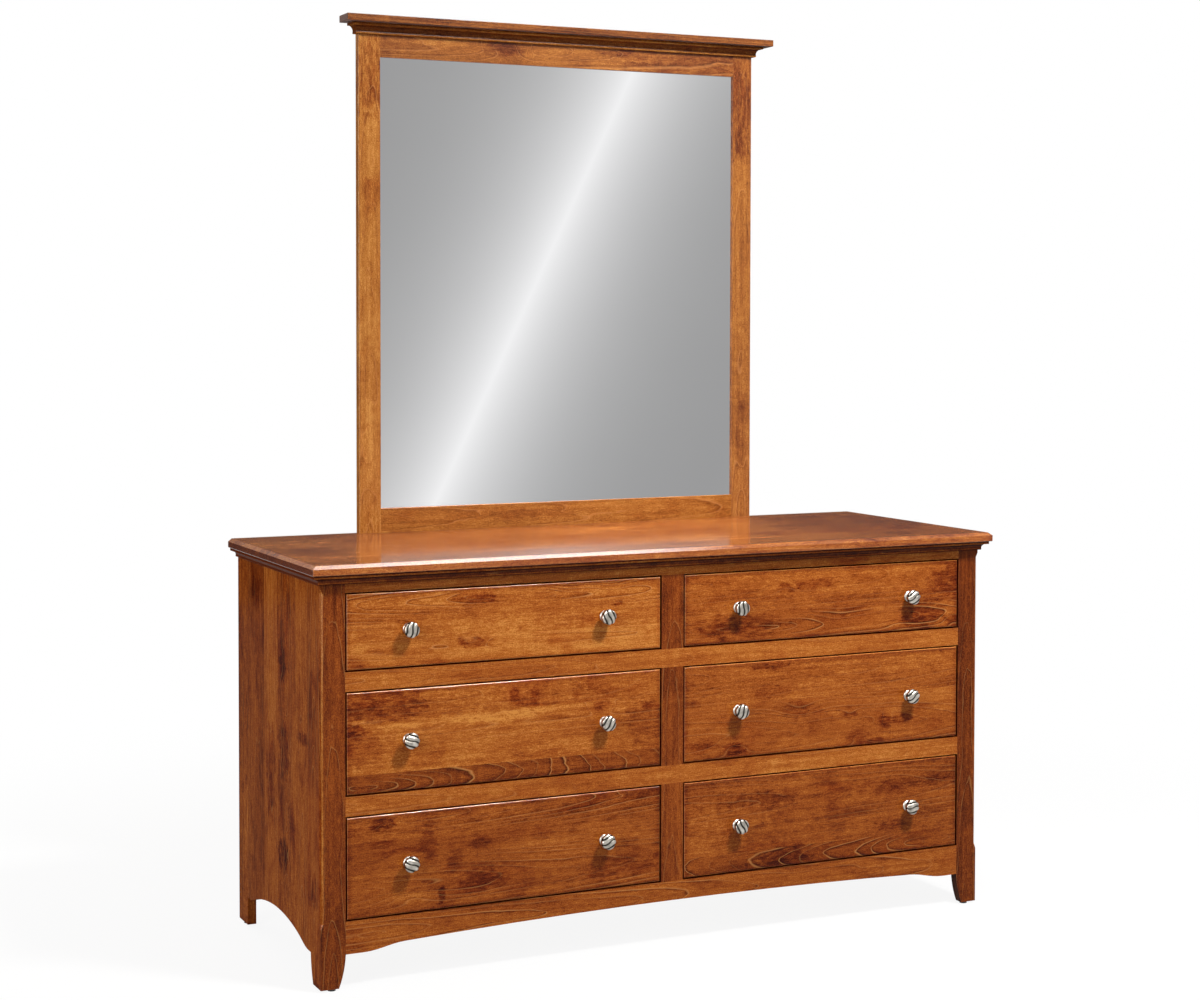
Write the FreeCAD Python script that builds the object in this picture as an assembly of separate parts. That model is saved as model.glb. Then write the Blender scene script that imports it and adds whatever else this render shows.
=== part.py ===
import FreeCAD
import Part
import math
import os

os.makedirs("parts", exist_ok=True)
Vec = FreeCAD.Vector

# Dresser with mirror. Millimetres, +Z up, the drawers open towards -Y.
# The pieces are drawn with the case's front face at y = 0 and moved to the part's frame when saved.

# Case
case_width = 1530.0
case_depth = 537.0
side_thick = 19.0
frame_thick = 19.0
post_width = 51.0
mullion_width = 51.0
drawer_rail_height = 38.0
top_rail_height = 37.0
bottom_rail_height = 63.5
top_opening = 153.0
middle_opening = 203.5
bottom_opening = 203.5
partition_thick = 19.0
bottom_thick = 12.0
bottom_drop = 6.0
back_thick = 6.0
back_rebate = 9.5
rear_rail_thick = 19.0
rear_rail_height = 60.0

# Feet and arches
glide_height = 4.0
glide_radius = 8.0
glide_pin_radius = 1.5
glide_pin_length = 12.0
front_glide_inset = 25.0
foot_height = 64.5
foot_taper = 14.0
foot_mid_share = 0.3
front_arch_flat = 36.0
front_arch_run = 88.0
front_arch_shoulder = 12.0
front_arch_rise = 24.0
side_foot_height = 59.0
side_leg_width = 60.0
side_arch_flat = 11.0
side_arch_run = 70.0
side_arch_shoulder = 17.0
side_arch_rise = 32.5
arch_lead_share = 0.4

# Stopped chamfer on the outer corner of each front post
chamfer = 6.0
chamfer_stop = 11.0

# Top panel and the moulding under it
top_thick = 19.5
top_side_overhang = 22.0
top_front_overhang = 25.0
top_corner_round = 1.5
top_bevel_in = 8.0
top_bevel_down = 6.3
top_under_round = 2.0
case_mould_height = 19.5
case_mould_reach = 17.5
case_mould_fillet = 6.5
case_mould_cove_top = 11.6
case_mould_cove_low = 5.6
case_mould_foot = 2.2
mould_arris = 0.9
cleat_size = 20.0
cleat_end = 20.0
top_screw_depth = 11.0
top_screw_end = 70.0

# Drawers
drawer_gap = 3.0
drawer_front_thick = 19.0
drawer_arris = 2.8
box_wall = 13.0
box_rear_gap = 21.0
box_lift = 12.0
box_top_gap = 20.0
box_bottom_thick = 6.0
box_bottom_rise = 10.0
groove_depth = 6.0
groove_clear = 0.2

# Drawer slides: three nested steel channels on each side of a drawer
slide_thick = 12.7
slide_rear_gap = 18.0
slide_setback = 2.0
slide_half_height = 22.5
slide_sheet = 1.2
slide_clear = 0.3
slide_case_flange = 9.0
slide_drawer_room = 0.7
packer_height = 60.0

# Knobs
knob_spacing = 427.6
knob_head_radius = 15.875
knob_reach = 25.0
knob_base_radius = 9.0
knob_base_height = 1.5
knob_neck_radius = 6.0
knob_neck_reach = 7.5
knob_flare_reach = 15.5
knob_rim_reach = 19.5
knob_groove_radius = 3.2
knob_groove_depth = 2.0
knob_groove_pitch = 10.0
knob_bore_depth = 14.0
knob_flare_shares = (0.42, 0.62)
knob_base_shares = (0.25, 0.4)
knob_turn_shares = (0.02, 0.37, 0.10, 0.41, 0.46, 0.33, 0.07, 0.29, 0.15, 0.44, 0.21, 0.05)

# Screws
screw_radius = 2.0
screw_clear = 0.3
thread_clear = 0.1
screw_head_radius = 4.0
screw_head_height = 2.5
knob_screw_depth = 12.0

# Mirror
mirror_width = 990.0
mirror_thick = 16.0
mirror_stile_width = 51.0
mirror_bottom_rail = 53.5
mirror_sight_height = 987.5
mirror_top_rail = 71.5
mirror_arris = 3.0
mirror_inner_arris = 1.5
rebate_width = 10.0
rebate_clear = 0.5
glass_set_back = 5.0
glass_thick = 5.0
backboard_thick = 3.0
mirror_mould_height = 23.0
mirror_mould_reach = 19.4
mirror_mould_fillet = 5.5
mirror_mould_cove_top = 14.0
mirror_mould_cove_low = 7.2
mirror_mould_foot = 3.0
cap_thick = 15.0
cap_overhang = 37.0
cap_arris = 1.0

# Standards that hold the mirror up, behind the case and the mirror's stiles
support_width = 38.0
support_thick = 16.0
support_below = 340.0
support_above = 680.0
support_screw_depth = 12.0
support_screw_low = 90.0
support_screw_end = 70.0
support_counterbore = 4.0

# Cuts run this far past what they cut
overrun = 5.0
near = 0.01

# Levels and places that follow from the sizes
half_case = case_width / 2
half_frame = half_case - post_width
half_top = half_case + top_side_overhang
z_foot = glide_height
z_arch = z_foot + foot_height
z_side_arch = z_foot + side_foot_height
z_open_low = z_arch + bottom_rail_height
z_rail_low = z_open_low + bottom_opening
z_open_mid = z_rail_low + drawer_rail_height
z_rail_mid = z_open_mid + middle_opening
z_open_top = z_rail_mid + drawer_rail_height
z_rail_top = z_open_top + top_opening
z_case = z_rail_top + top_rail_height
z_top = z_case + top_thick
z_floor_panel = z_open_low - bottom_drop
y_back = case_depth - back_thick
y_rear_rail = y_back - rear_rail_thick
opening_width = half_frame - mullion_width / 2
box_depth = y_rear_rail - drawer_front_thick - box_rear_gap
slide_length = box_depth - slide_setback - slide_rear_gap
opening_centre = (half_frame + mullion_width / 2) / 2
half_mirror = mirror_width / 2
mirror_front = case_depth - mirror_thick
half_sight = half_mirror - mirror_stile_width
z_sight_low = z_top + mirror_bottom_rail
z_sight_high = z_sight_low + mirror_sight_height
z_cap = z_sight_high + mirror_top_rail
support_centre = half_mirror - mirror_stile_width / 2
front_reach = max(knob_reach, top_front_overhang)
y_shift = (front_reach - case_depth - support_thick) / 2
rows = (
    ("top", z_open_top, top_opening),
    ("middle", z_open_mid, middle_opening),
    ("bottom", z_open_low, bottom_opening),
)
sides = (("left", -1), ("right", 1))


def block(x0, x1, y0, y1, z0, z1):
    """A box between two corners."""
    return Part.makeBox(x1 - x0, y1 - y0, z1 - z0, Vec(x0, y0, z0))


def prism(points, sweep):
    """A flat outline swept straight."""
    return Part.Face(Part.makePolygon(points + points[:1])).extrude(sweep)


def swept(edges, sweep):
    """A closed row of edges swept straight."""
    return Part.Face(Part.Wire(edges)).extrude(sweep)


def line(start, end):
    return Part.LineSegment(start, end).toShape()


def arc(start, middle, end):
    return Part.Arc(start, middle, end).toShape()


def path(points):
    """Straight edges through the points."""
    return [line(points[i], points[i + 1]) for i in range(len(points) - 1)]


def mirrored(shape):
    """The same piece on the other side of the middle plane."""
    return shape.mirror(Vec(0, 0, 0), Vec(1, 0, 0))


def edges_where(shape, test):
    return [edge for edge in shape.Edges if test(edge.BoundBox)]


def save(name, solids):
    """Move the solids to the part's frame and write them as one sub-part."""
    shape = solids[0] if len(solids) == 1 else Part.makeCompound(solids)
    shape.translate(Vec(0, y_shift, 0))
    shape.exportStep("parts/" + name + ".step")


def arch_edges(place, half, low, flat, run, shoulder, rise):
    """A lower edge from +half to -half: flat ends, S-shaped shoulders and a shallow arc between."""
    start = half - flat
    spring = start - run
    crown = rise - shoulder
    slope = 2 * spring * crown / (spring ** 2 - crown ** 2)
    lead = run * arch_lead_share
    poles = [
        (start, low),
        (start - lead, low),
        (spring + lead, low + shoulder - lead * slope),
        (spring, low + shoulder),
    ]
    right = Part.BezierCurve()
    right.setPoles([place(u, z) for u, z in poles])
    left = Part.BezierCurve()
    left.setPoles([place(-u, z) for u, z in reversed(poles)])
    return [
        line(place(half, low), place(start, low)),
        right.toShape(),
        arc(place(spring, low + shoulder), place(0, low + rise), place(-spring, low + shoulder)),
        left.toShape(),
        line(place(-start, low), place(-half, low)),
    ]


def foot_edge(place, inner, outer, level):
    """The curved inner edge of a foot, upright at its top."""
    turn = inner + (outer - inner) * foot_mid_share
    return arc(place(inner, level), place(turn, (level + z_foot) / 2), place(outer, z_foot))


def corner_cut():
    """What a stopped chamfer takes off the right-hand front corner."""
    def outline(size, z):
        points = [
            Vec(half_case - size - overrun, -overrun, z),
            Vec(half_case + overrun, -overrun, z),
            Vec(half_case + overrun, size + overrun, z),
        ]
        return points

    def closed(points):
        return Part.makePolygon(points + points[:1])

    run = prism(outline(chamfer, z_open_low), Vec(0, 0, z_rail_top - z_open_low))
    low = Part.makeLoft(
        [closed(outline(0, z_open_low - chamfer_stop)), closed(outline(chamfer, z_open_low))], True, True)
    high = Part.makeLoft(
        [closed(outline(chamfer, z_rail_top)), closed(outline(0, z_rail_top + chamfer_stop))], True, True)
    return [run, low, high]


def mitre_wedge(x_far, y_far):
    """An upright wedge on one side of the mitre between a front post and its side panel."""
    points = [
        Vec(half_case, 0, 0),
        Vec(half_case - side_thick, frame_thick, 0),
        Vec(x_far, y_far, 0),
    ]
    return prism(points, Vec(0, 0, z_case))


def glide_places():
    """Centres of the floor glides on the right-hand side, front and rear."""
    front = Vec(half_case - front_glide_inset, frame_thick / 2, 0)
    rear = Vec(half_case - side_thick / 2, case_depth - side_leg_width / 2, 0)
    return front, rear


def glide_hole(centre):
    radius = glide_pin_radius + thread_clear
    return Part.makeCylinder(radius, glide_pin_length, Vec(centre.x, centre.y, z_foot))


def front_post():
    """Right-hand front post with its tapered foot, mitred edge and stopped chamfer."""
    def place(x, z):
        return Vec(x, 0, z)

    tip = half_frame + foot_taper
    edges = [foot_edge(place, half_frame, tip, z_arch)]
    edges += path([
        place(tip, z_foot),
        place(half_case, z_foot),
        place(half_case, z_case),
        place(half_frame, z_case),
        place(half_frame, z_arch),
    ])
    post = swept(edges, Vec(0, frame_thick, 0))
    post = post.cut(mitre_wedge(half_case, frame_thick))
    return post.cut(corner_cut() + [glide_hole(glide_places()[0])])


def side_panel():
    """Right-hand side panel: arched lower edge, feet, mitred front edge, rebate for the back."""
    inner = half_case - side_thick
    middle = case_depth / 2

    def across(u, z):
        return Vec(inner, middle + u, z)

    def place(y, z):
        return Vec(inner, y, z)

    tip = side_leg_width - foot_taper
    edges = path([
        place(tip, z_foot),
        place(0, z_foot),
        place(0, z_case),
        place(case_depth, z_case),
        place(case_depth, z_foot),
        place(case_depth - side_leg_width, z_foot),
        place(case_depth - side_leg_width, z_side_arch),
    ])
    edges += arch_edges(
        across, middle - side_leg_width, z_side_arch,
        side_arch_flat, side_arch_run, side_arch_shoulder, side_arch_rise)
    edges.append(foot_edge(place, side_leg_width, tip, z_side_arch))
    panel = swept(edges, Vec(side_thick, 0, 0))
    panel = panel.cut(mitre_wedge(inner, 0))
    rebate = block(
        inner - overrun, inner + back_rebate, y_back, case_depth + overrun,
        z_floor_panel - bottom_thick, z_case + overrun)
    return panel.cut(corner_cut() + [rebate, glide_hole(glide_places()[1])])


def frame_rail(low, high):
    """A face-frame rail from post to post."""
    return block(-half_frame, half_frame, 0, frame_thick, low, high)


def bottom_rail():
    """The lowest rail, with its arched edge."""
    def place(x, z):
        return Vec(x, 0, z)

    edges = arch_edges(
        place, half_frame, z_arch, front_arch_flat, front_arch_run, front_arch_shoulder, front_arch_rise)
    edges += path([
        place(-half_frame, z_arch),
        place(-half_frame, z_open_low),
        place(half_frame, z_open_low),
        place(half_frame, z_arch),
    ])
    return swept(edges, Vec(0, frame_thick, 0))


def mullions():
    """Short uprights between the rails, one for each row of drawers."""
    half = mullion_width / 2
    return [block(-half, half, 0, frame_thick, low, low + height) for _, low, height in rows]


def centre_partition():
    half = partition_thick / 2
    return block(-half, half, frame_thick, y_rear_rail, z_floor_panel, z_case)


def bottom_panel():
    half = half_case - side_thick
    return block(-half, half, frame_thick, y_back, z_floor_panel - bottom_thick, z_floor_panel)


def support_screw_levels():
    """Heights of the screws through a standard: two into the case, two into the mirror."""
    middle = z_case - rear_rail_height / 2
    quarter = rear_rail_height / 4
    into_case = (middle - quarter, middle + quarter)
    into_mirror = (z_top + support_screw_low, z_top + support_above - support_screw_end)
    return into_case, into_mirror


def support_holes(radius, y0, y1, levels):
    """Holes on the line of both standards."""
    holes = []
    for _, side in sides:
        for level in levels:
            holes.append(Part.makeCylinder(
                radius, y1 - y0, Vec(side * support_centre, y0, level), Vec(0, 1, 0)))
    return holes


def back_panel():
    half = half_case - side_thick + back_rebate
    panel = block(-half, half, y_back, case_depth, z_floor_panel - bottom_thick, z_case)
    holes = support_holes(
        screw_radius + screw_clear, y_back - overrun, case_depth + overrun, support_screw_levels()[0])
    return panel.cut(holes)


def rear_rails():
    """Rails across the back, under the top and on the bottom panel."""
    half = half_case - side_thick
    upper = block(-half, half, y_rear_rail, y_back, z_case - rear_rail_height, z_case)
    lower = block(-half, half, y_rear_rail, y_back, z_floor_panel, z_floor_panel + rear_rail_height)
    holes = support_holes(
        screw_radius + thread_clear, y_back - support_screw_depth, y_back + overrun,
        support_screw_levels()[0])
    return [upper.cut(holes), lower]


def top_cleats():
    """Strips inside the side panels that the top is screwed to."""
    outer = half_case - side_thick
    cleats = []
    for _, side in sides:
        x0, x1 = sorted((side * outer, side * (outer - cleat_size)))
        cleat = block(x0, x1, frame_thick + cleat_end, y_rear_rail - cleat_end, z_case - cleat_size, z_case)
        holes = [
            Part.makeCylinder(screw_radius + screw_clear, cleat_size, place)
            for place in top_screw_places(side)]
        cleats.append(cleat.cut(holes))
    return cleats


def top_screw_places(side):
    """Lower ends of the screws through one cleat."""
    x = side * (half_case - side_thick - cleat_size / 2)
    first = frame_thick + top_screw_end
    last = y_rear_rail - top_screw_end
    return [Vec(x, y, z_case - cleat_size) for y in (first, (first + last) / 2, last)]


def screw(start, direction, length):
    """A screw: its head ends at the start, its shank runs on from there."""
    shank = Part.makeCylinder(screw_radius, length, start, direction)
    head_start = start - direction * screw_head_height
    head = Part.makeCylinder(screw_head_radius, screw_head_height, head_start, direction)
    return shank.fuse(head).removeSplitter()


def top_screws():
    screws = []
    for _, side in sides:
        for place in top_screw_places(side):
            screws.append(screw(place, Vec(0, 0, 1), cleat_size + top_screw_depth))
    return screws


def bevel_cut(place, sweep):
    """What a bevel takes off an upper edge. Places are measured in and up from the bevel's foot."""
    points = [
        place(-top_bevel_in, -top_bevel_down),
        place(2 * top_bevel_in, 2 * top_bevel_down),
        place(-top_bevel_in, 2 * top_bevel_down),
    ]
    return prism(points, sweep)


def top_bevels():
    """The bevels along the front and both ends of the top."""
    foot = z_top - top_bevel_down

    def at_front(inwards, up):
        return Vec(-half_top - overrun, inwards - top_front_overhang, foot + up)

    def at_end(inwards, up):
        return Vec(half_top - inwards, -top_front_overhang - overrun, foot + up)

    front = bevel_cut(at_front, Vec(2 * (half_top + overrun), 0, 0))
    end = bevel_cut(at_end, Vec(0, top_front_overhang + case_depth + 2 * overrun, 0))
    return [front, end, mirrored(end)]


def top_panel():
    """The top: bevelled upper edge at the front and ends, square at the back."""
    top = block(-half_top, half_top, -top_front_overhang, case_depth, z_case, z_top)
    corners = edges_where(top, lambda b: b.ZLength > near and b.YMax < 0)
    top = top.makeFillet(top_corner_round, corners)
    top = top.cut(top_bevels())
    lower = edges_where(top, lambda b: b.ZMax < z_case + near and b.YMin < case_depth - near)
    top = top.makeFillet(top_under_round, lower)
    holes = []
    for _, side in sides:
        for place in top_screw_places(side):
            start = Vec(place.x, place.y, z_case)
            holes.append(Part.makeCylinder(screw_radius + thread_clear, top_screw_depth, start))
    return top.cut(holes)


def mould_arc(place, out, down):
    """An eased lower edge that ends at the given reach and drop."""
    slant = mould_arris * (1 - math.sqrt(0.5))
    return arc(
        place(out, down - mould_arris), place(out - slant, down - slant), place(out - mould_arris, down))


def mould_edges(place, height, reach, fillet, cove_top, cove_low, foot):
    """Moulding profile, outwards and downwards from the upper inner corner."""
    low = height - foot
    slant = math.sqrt(0.5)
    middle_out = cove_top - (cove_top - cove_low) * slant
    middle_down = low - (low - fillet) * slant
    edges = path([place(0, height), place(0, 0), place(reach, 0), place(reach, fillet - mould_arris)])
    edges.append(mould_arc(place, reach, fillet))
    edges.append(line(place(reach - mould_arris, fillet), place(cove_top, fillet)))
    edges.append(arc(place(cove_top, fillet), place(middle_out, middle_down), place(cove_low, low)))
    edges.append(line(place(cove_low, low), place(cove_low, height - mould_arris)))
    edges.append(mould_arc(place, cove_low, height))
    edges.append(line(place(cove_low - mould_arris, height), place(0, height)))
    return edges


def moulding(half, front, back, top, sizes):
    """Three lengths round the front and sides of a box, mitred at the front corners."""
    height, reach = sizes[0], sizes[1]
    far = reach + overrun

    def at_front(out, down):
        return Vec(-half - reach, front - out, top - down)

    def at_side(out, down):
        return Vec(half + out, front - reach, top - down)

    def wedge(x, y):
        points = [Vec(half, front, 0), Vec(half + far, front - far, 0), Vec(x, y, 0)]
        rise = Vec(0, 0, height + overrun + overrun)
        shape = prism(points, rise)
        shape.translate(Vec(0, 0, top - height - overrun))
        return shape

    beyond = wedge(half + far, front)
    before = wedge(half, front - far)
    length = mould_edges(at_front, *sizes)
    front_piece = swept(length, Vec(2 * (half + reach), 0, 0)).cut([beyond, mirrored(beyond)])
    end = mould_edges(at_side, *sizes)
    side_piece = swept(end, Vec(0, back - front + reach, 0)).cut(before)
    return [front_piece, side_piece, mirrored(side_piece)]


def floor_glides():
    """Turned glides under the feet, each with a pin up into its foot."""
    glides = []
    for centre in glide_places():
        disc = Part.makeCylinder(glide_radius, glide_height, Vec(centre.x, centre.y, 0))
        pin = Part.makeCylinder(glide_pin_radius, glide_pin_length, Vec(centre.x, centre.y, z_foot))
        glide = disc.fuse(pin).removeSplitter()
        glides += [glide, mirrored(glide)]
    return glides


def channel(x, turn, web, tip, half_height, level):
    """A steel channel along Y. Web and tip are measured from the wall at x towards the drawer."""
    sheet = slide_sheet if tip > web else -slide_sheet
    inner = half_height - slide_sheet
    section = [
        (web, -half_height), (tip, -half_height), (tip, -inner), (web + sheet, -inner),
        (web + sheet, inner), (tip, inner), (tip, half_height), (web, half_height)]
    start = frame_thick + slide_setback
    points = [Vec(x + turn * u, start, level + w) for u, w in section]
    return prism(points, Vec(0, slide_length, 0))


def drawer_walls(side):
    """Where the walls of an opening stand, and which way the drawer lies from each."""
    centre = side * opening_centre
    return (centre - opening_width / 2, 1), (centre + opening_width / 2, -1)


def box_levels(low, height):
    """Lower and upper edge of a drawer box in its opening."""
    return low + box_lift, low + height - box_top_gap


def slide_level(low, height):
    bottom, top = box_levels(low, height)
    return (bottom + top) / 2


def case_slides():
    """Outer channels, screwed to the packers."""
    channels = []
    for _, low, height in rows:
        for _, side in sides:
            for x, turn in drawer_walls(side):
                level = slide_level(low, height)
                channels.append(channel(x, turn, 0, slide_case_flange, slide_half_height, level))
    return channels


def middle_slides(side, low, height):
    """Middle channels of one drawer, nested in the outer ones."""
    web = slide_sheet + slide_clear
    tip = slide_thick - slide_sheet - slide_drawer_room
    half = slide_half_height - slide_sheet - slide_clear
    level = slide_level(low, height)
    return [channel(x, turn, web, tip, half, level) for x, turn in drawer_walls(side)]


def drawer_slides(side, low, height):
    """Inner channels of one drawer, on the sides of its box."""
    tip = 2 * (slide_sheet + slide_clear)
    half = slide_half_height - 2 * (slide_sheet + slide_clear)
    level = slide_level(low, height)
    return [channel(x, turn, slide_thick, tip, half, level) for x, turn in drawer_walls(side)]


def slide_packers():
    """Strips that bring the slides level with the edges of the openings."""
    packers = []
    for _, low, height in rows:
        level = slide_level(low, height)
        z0, z1 = level - packer_height / 2, level + packer_height / 2
        for _, side in sides:
            outer = sorted((side * half_frame, side * (half_case - side_thick)))
            inner = sorted((side * partition_thick / 2, side * mullion_width / 2))
            packers.append(block(outer[0], outer[1], frame_thick, y_rear_rail, z0, z1))
            packers.append(block(inner[0], inner[1], frame_thick, y_rear_rail, z0, z1))
    return packers


def knob_places(side, low, height):
    """Centres of a drawer's two knobs on the front face."""
    middle = side * opening_centre
    level = low + height / 2
    return [Vec(middle + end * knob_spacing / 2, 0, level) for end in (-1, 1)]


def knob_holes(side, low, height):
    """Clearance holes for the knob screws through the front and the box."""
    radius = screw_radius + screw_clear
    length = drawer_front_thick + box_wall
    return [Part.makeCylinder(radius, length, p, Vec(0, 1, 0)) for p in knob_places(side, low, height)]


def drawer_front(side, low, height):
    """An inset front with eased front edges."""
    half = opening_width / 2 - drawer_gap
    middle = side * opening_centre
    front = block(
        middle - half, middle + half, 0, drawer_front_thick, low + drawer_gap, low + height - drawer_gap)
    eased = edges_where(front, lambda b: b.YMax < near)
    return front.makeFillet(drawer_arris, eased).cut(knob_holes(side, low, height))


def drawer_box(side, low, height):
    """Sides, inner front and back round a bottom that sits in their groove."""
    bottom, top = box_levels(low, height)
    middle = side * opening_centre
    outer = opening_width / 2 - slide_thick
    inner = outer - box_wall
    y0 = drawer_front_thick
    y1 = y0 + box_depth
    z0 = bottom + box_bottom_rise
    z1 = z0 + box_bottom_thick
    sunk = inner + groove_depth
    y_in = y0 + box_wall - groove_depth
    y_out = y1 - box_wall + groove_depth
    groove = block(middle - sunk, middle + sunk, y_in, y_out, z0 - groove_clear, z1 + groove_clear)
    walls = [
        block(middle - outer, middle - inner, y0, y1, bottom, top),
        block(middle + inner, middle + outer, y0, y1, bottom, top),
        block(middle - inner, middle + inner, y0, y0 + box_wall, bottom, top),
        block(middle - inner, middle + inner, y1 - box_wall, y1, bottom, top),
    ]
    holes = knob_holes(side, low, height)
    solids = [wall.cut([groove] + holes) for wall in walls]
    fit = sunk - groove_clear
    solids.append(block(
        middle - fit, middle + fit, y_in + groove_clear, y_out - groove_clear, z0, z1))
    return solids


def knob_body():
    """A turned knob on a flared neck, with a bore for its screw; its axis is -Y."""
    def place(radius, reach):
        return Vec(radius, -reach, 0)

    def between(r0, s0, r1, s1, shares):
        return place(r0 + (r1 - r0) * shares[0], s0 + (s1 - s0) * shares[1])

    bore = screw_radius + thread_clear
    base = place(knob_base_radius, knob_base_height)
    neck = place(knob_neck_radius, knob_neck_reach)
    rim = place(knob_head_radius, knob_flare_reach)
    edge = place(knob_head_radius, knob_rim_reach)
    nose = place(0, knob_reach)
    base_turn = between(
        knob_neck_radius, knob_neck_reach, knob_base_radius, knob_base_height, knob_base_shares)
    flare_turn = between(
        knob_neck_radius, knob_neck_reach, knob_head_radius, knob_flare_reach, knob_flare_shares)
    dome_turn = dome_point(place)
    edges = path([place(bore, 0), place(knob_base_radius, 0), base])
    edges += [arc(base, base_turn, neck), arc(neck, flare_turn, rim), line(rim, edge)]
    edges.append(arc(edge, dome_turn, nose))
    edges += path([nose, place(0, knob_bore_depth), place(bore, knob_bore_depth), place(bore, 0)])
    body = Part.Face(Part.Wire(edges)).revolve(Vec(0, 0, 0), Vec(0, 1, 0), 360)
    return body.cut(knob_grooves())


def dome_radius():
    """Radius of the ball that the knob's face is part of."""
    drop = knob_reach - knob_rim_reach
    return (knob_head_radius ** 2 + drop ** 2) / (2 * drop)


def dome_point(place):
    """A point of the dome halfway out from the middle."""
    ball = dome_radius()
    out = knob_head_radius / 2
    return place(out, knob_reach - ball + math.sqrt(ball ** 2 - out ** 2))


def knob_grooves():
    """Round grooves across the dome, each at one depth all along."""
    ball = dome_radius()
    grooves = []
    for step in (-1, 0, 1):
        offset = step * knob_groove_pitch
        ring = math.sqrt(ball ** 2 - offset ** 2) + knob_groove_radius - knob_groove_depth
        centre = Vec(offset, ball - knob_reach, 0)
        grooves.append(Part.makeTorus(ring, knob_groove_radius, centre, Vec(1, 0, 0)))
    return grooves


def drawer_knobs(index, side, low, height):
    """Two knobs, each turned its own way, and the screws that hold them from inside the box."""
    solids = []
    for end, place in enumerate(knob_places(side, low, height)):
        knob = knob_body()
        knob.rotate(Vec(0, 0, 0), Vec(0, 1, 0), 360 * knob_turn_shares[2 * index + end])
        knob.translate(place)
        depth = drawer_front_thick + box_wall
        start = place + Vec(0, depth, 0)
        solids += [knob, screw(start, Vec(0, -1, 0), depth + knob_screw_depth)]
    return solids


def mirror_rebate():
    """The space behind the lip that the glass and backboard sit in."""
    half = half_sight + rebate_width
    return block(
        -half, half, mirror_front + glass_set_back, case_depth + overrun,
        z_sight_low - rebate_width, z_sight_high + rebate_width)


def mirror_stile():
    """Right-hand stile of the mirror frame, full height."""
    stile = block(half_sight, half_mirror, mirror_front, case_depth, z_top, z_cap)
    outer = edges_where(
        stile, lambda b: b.XMin > half_mirror - near and b.YMax < mirror_front + near)
    stile = stile.makeFillet(mirror_arris, outer)
    holes = support_holes(
        screw_radius + thread_clear, case_depth - support_screw_depth, case_depth + overrun,
        support_screw_levels()[1])
    return stile.cut([mirror_rebate()] + holes)


def mirror_rail(low, high, sight):
    """A rail between the stiles, eased along the glass."""
    rail = block(-half_sight, half_sight, mirror_front, case_depth, low, high)
    eased = edges_where(
        rail, lambda b: abs(b.ZMin - sight) < near and b.ZLength < near and b.YMax < mirror_front + near)
    return rail.makeFillet(mirror_inner_arris, eased).cut(mirror_rebate())


def mirror_sheet(front, thick):
    """A sheet in the mirror's rebate."""
    half = half_sight + rebate_width - rebate_clear
    low = z_sight_low - rebate_width + rebate_clear
    high = z_sight_high + rebate_width - rebate_clear
    return block(-half, half, front, front + thick, low, high)


def mirror_cap():
    """The flat cap over the mirror's moulding."""
    half = half_mirror + cap_overhang
    cap = block(-half, half, mirror_front - cap_overhang, case_depth, z_cap, z_cap + cap_thick)
    eased = edges_where(cap, lambda b: b.YMin < case_depth - near)
    return cap.makeFillet(cap_arris, eased)


def mirror_supports():
    """Standards behind the case and the mirror, counterbored for their screws."""
    low = z_top - support_below
    high = z_top + support_above
    rear = case_depth + support_thick
    levels = support_screw_levels()[0] + support_screw_levels()[1]
    holes = support_holes(screw_radius + screw_clear, case_depth - overrun, rear + overrun, levels)
    holes += support_holes(
        screw_head_radius + screw_clear, rear - support_counterbore, rear + overrun, levels)
    solids = []
    for _, side in sides:
        x = side * support_centre
        bar = block(x - support_width / 2, x + support_width / 2, case_depth, rear, low, high)
        solids.append(bar.cut(holes))
    return solids


def mirror_screws():
    """Screws through the standards, into the rear rail and the mirror's stiles."""
    start = case_depth + support_thick - support_counterbore
    seat = support_thick - support_counterbore
    lengths = (seat + back_thick + support_screw_depth, seat + support_screw_depth)
    solids = []
    for levels, length in zip(support_screw_levels(), lengths):
        for level in levels:
            for _, side in sides:
                solids.append(screw(Vec(side * support_centre, start, level), Vec(0, -1, 0), length))
    return solids


case_mould_sizes = (
    case_mould_height, case_mould_reach, case_mould_fillet,
    case_mould_cove_top, case_mould_cove_low, case_mould_foot)
mirror_mould_sizes = (
    mirror_mould_height, mirror_mould_reach, mirror_mould_fillet,
    mirror_mould_cove_top, mirror_mould_cove_low, mirror_mould_foot)

save("top_panel", [top_panel()])
save("top_moulding", moulding(half_case, 0, case_depth, z_case, case_mould_sizes))
save("front_post_right", [front_post()])
save("front_post_left", [mirrored(front_post())])
save("side_panel_right", [side_panel()])
save("side_panel_left", [mirrored(side_panel())])
save("top_rail", [frame_rail(z_rail_top, z_case)])
save("upper_drawer_rail", [frame_rail(z_rail_mid, z_open_top)])
save("lower_drawer_rail", [frame_rail(z_rail_low, z_open_mid)])
save("bottom_rail", [bottom_rail()])
save("mullions", mullions())
save("centre_partition", [centre_partition()])
save("bottom_panel", [bottom_panel()])
save("back_panel", [back_panel()])
save("rear_rails", rear_rails())
save("slide_packers", slide_packers())
save("case_slides", case_slides())
save("top_cleats", top_cleats())
save("top_screws", top_screws())
save("floor_glides", floor_glides())

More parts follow.
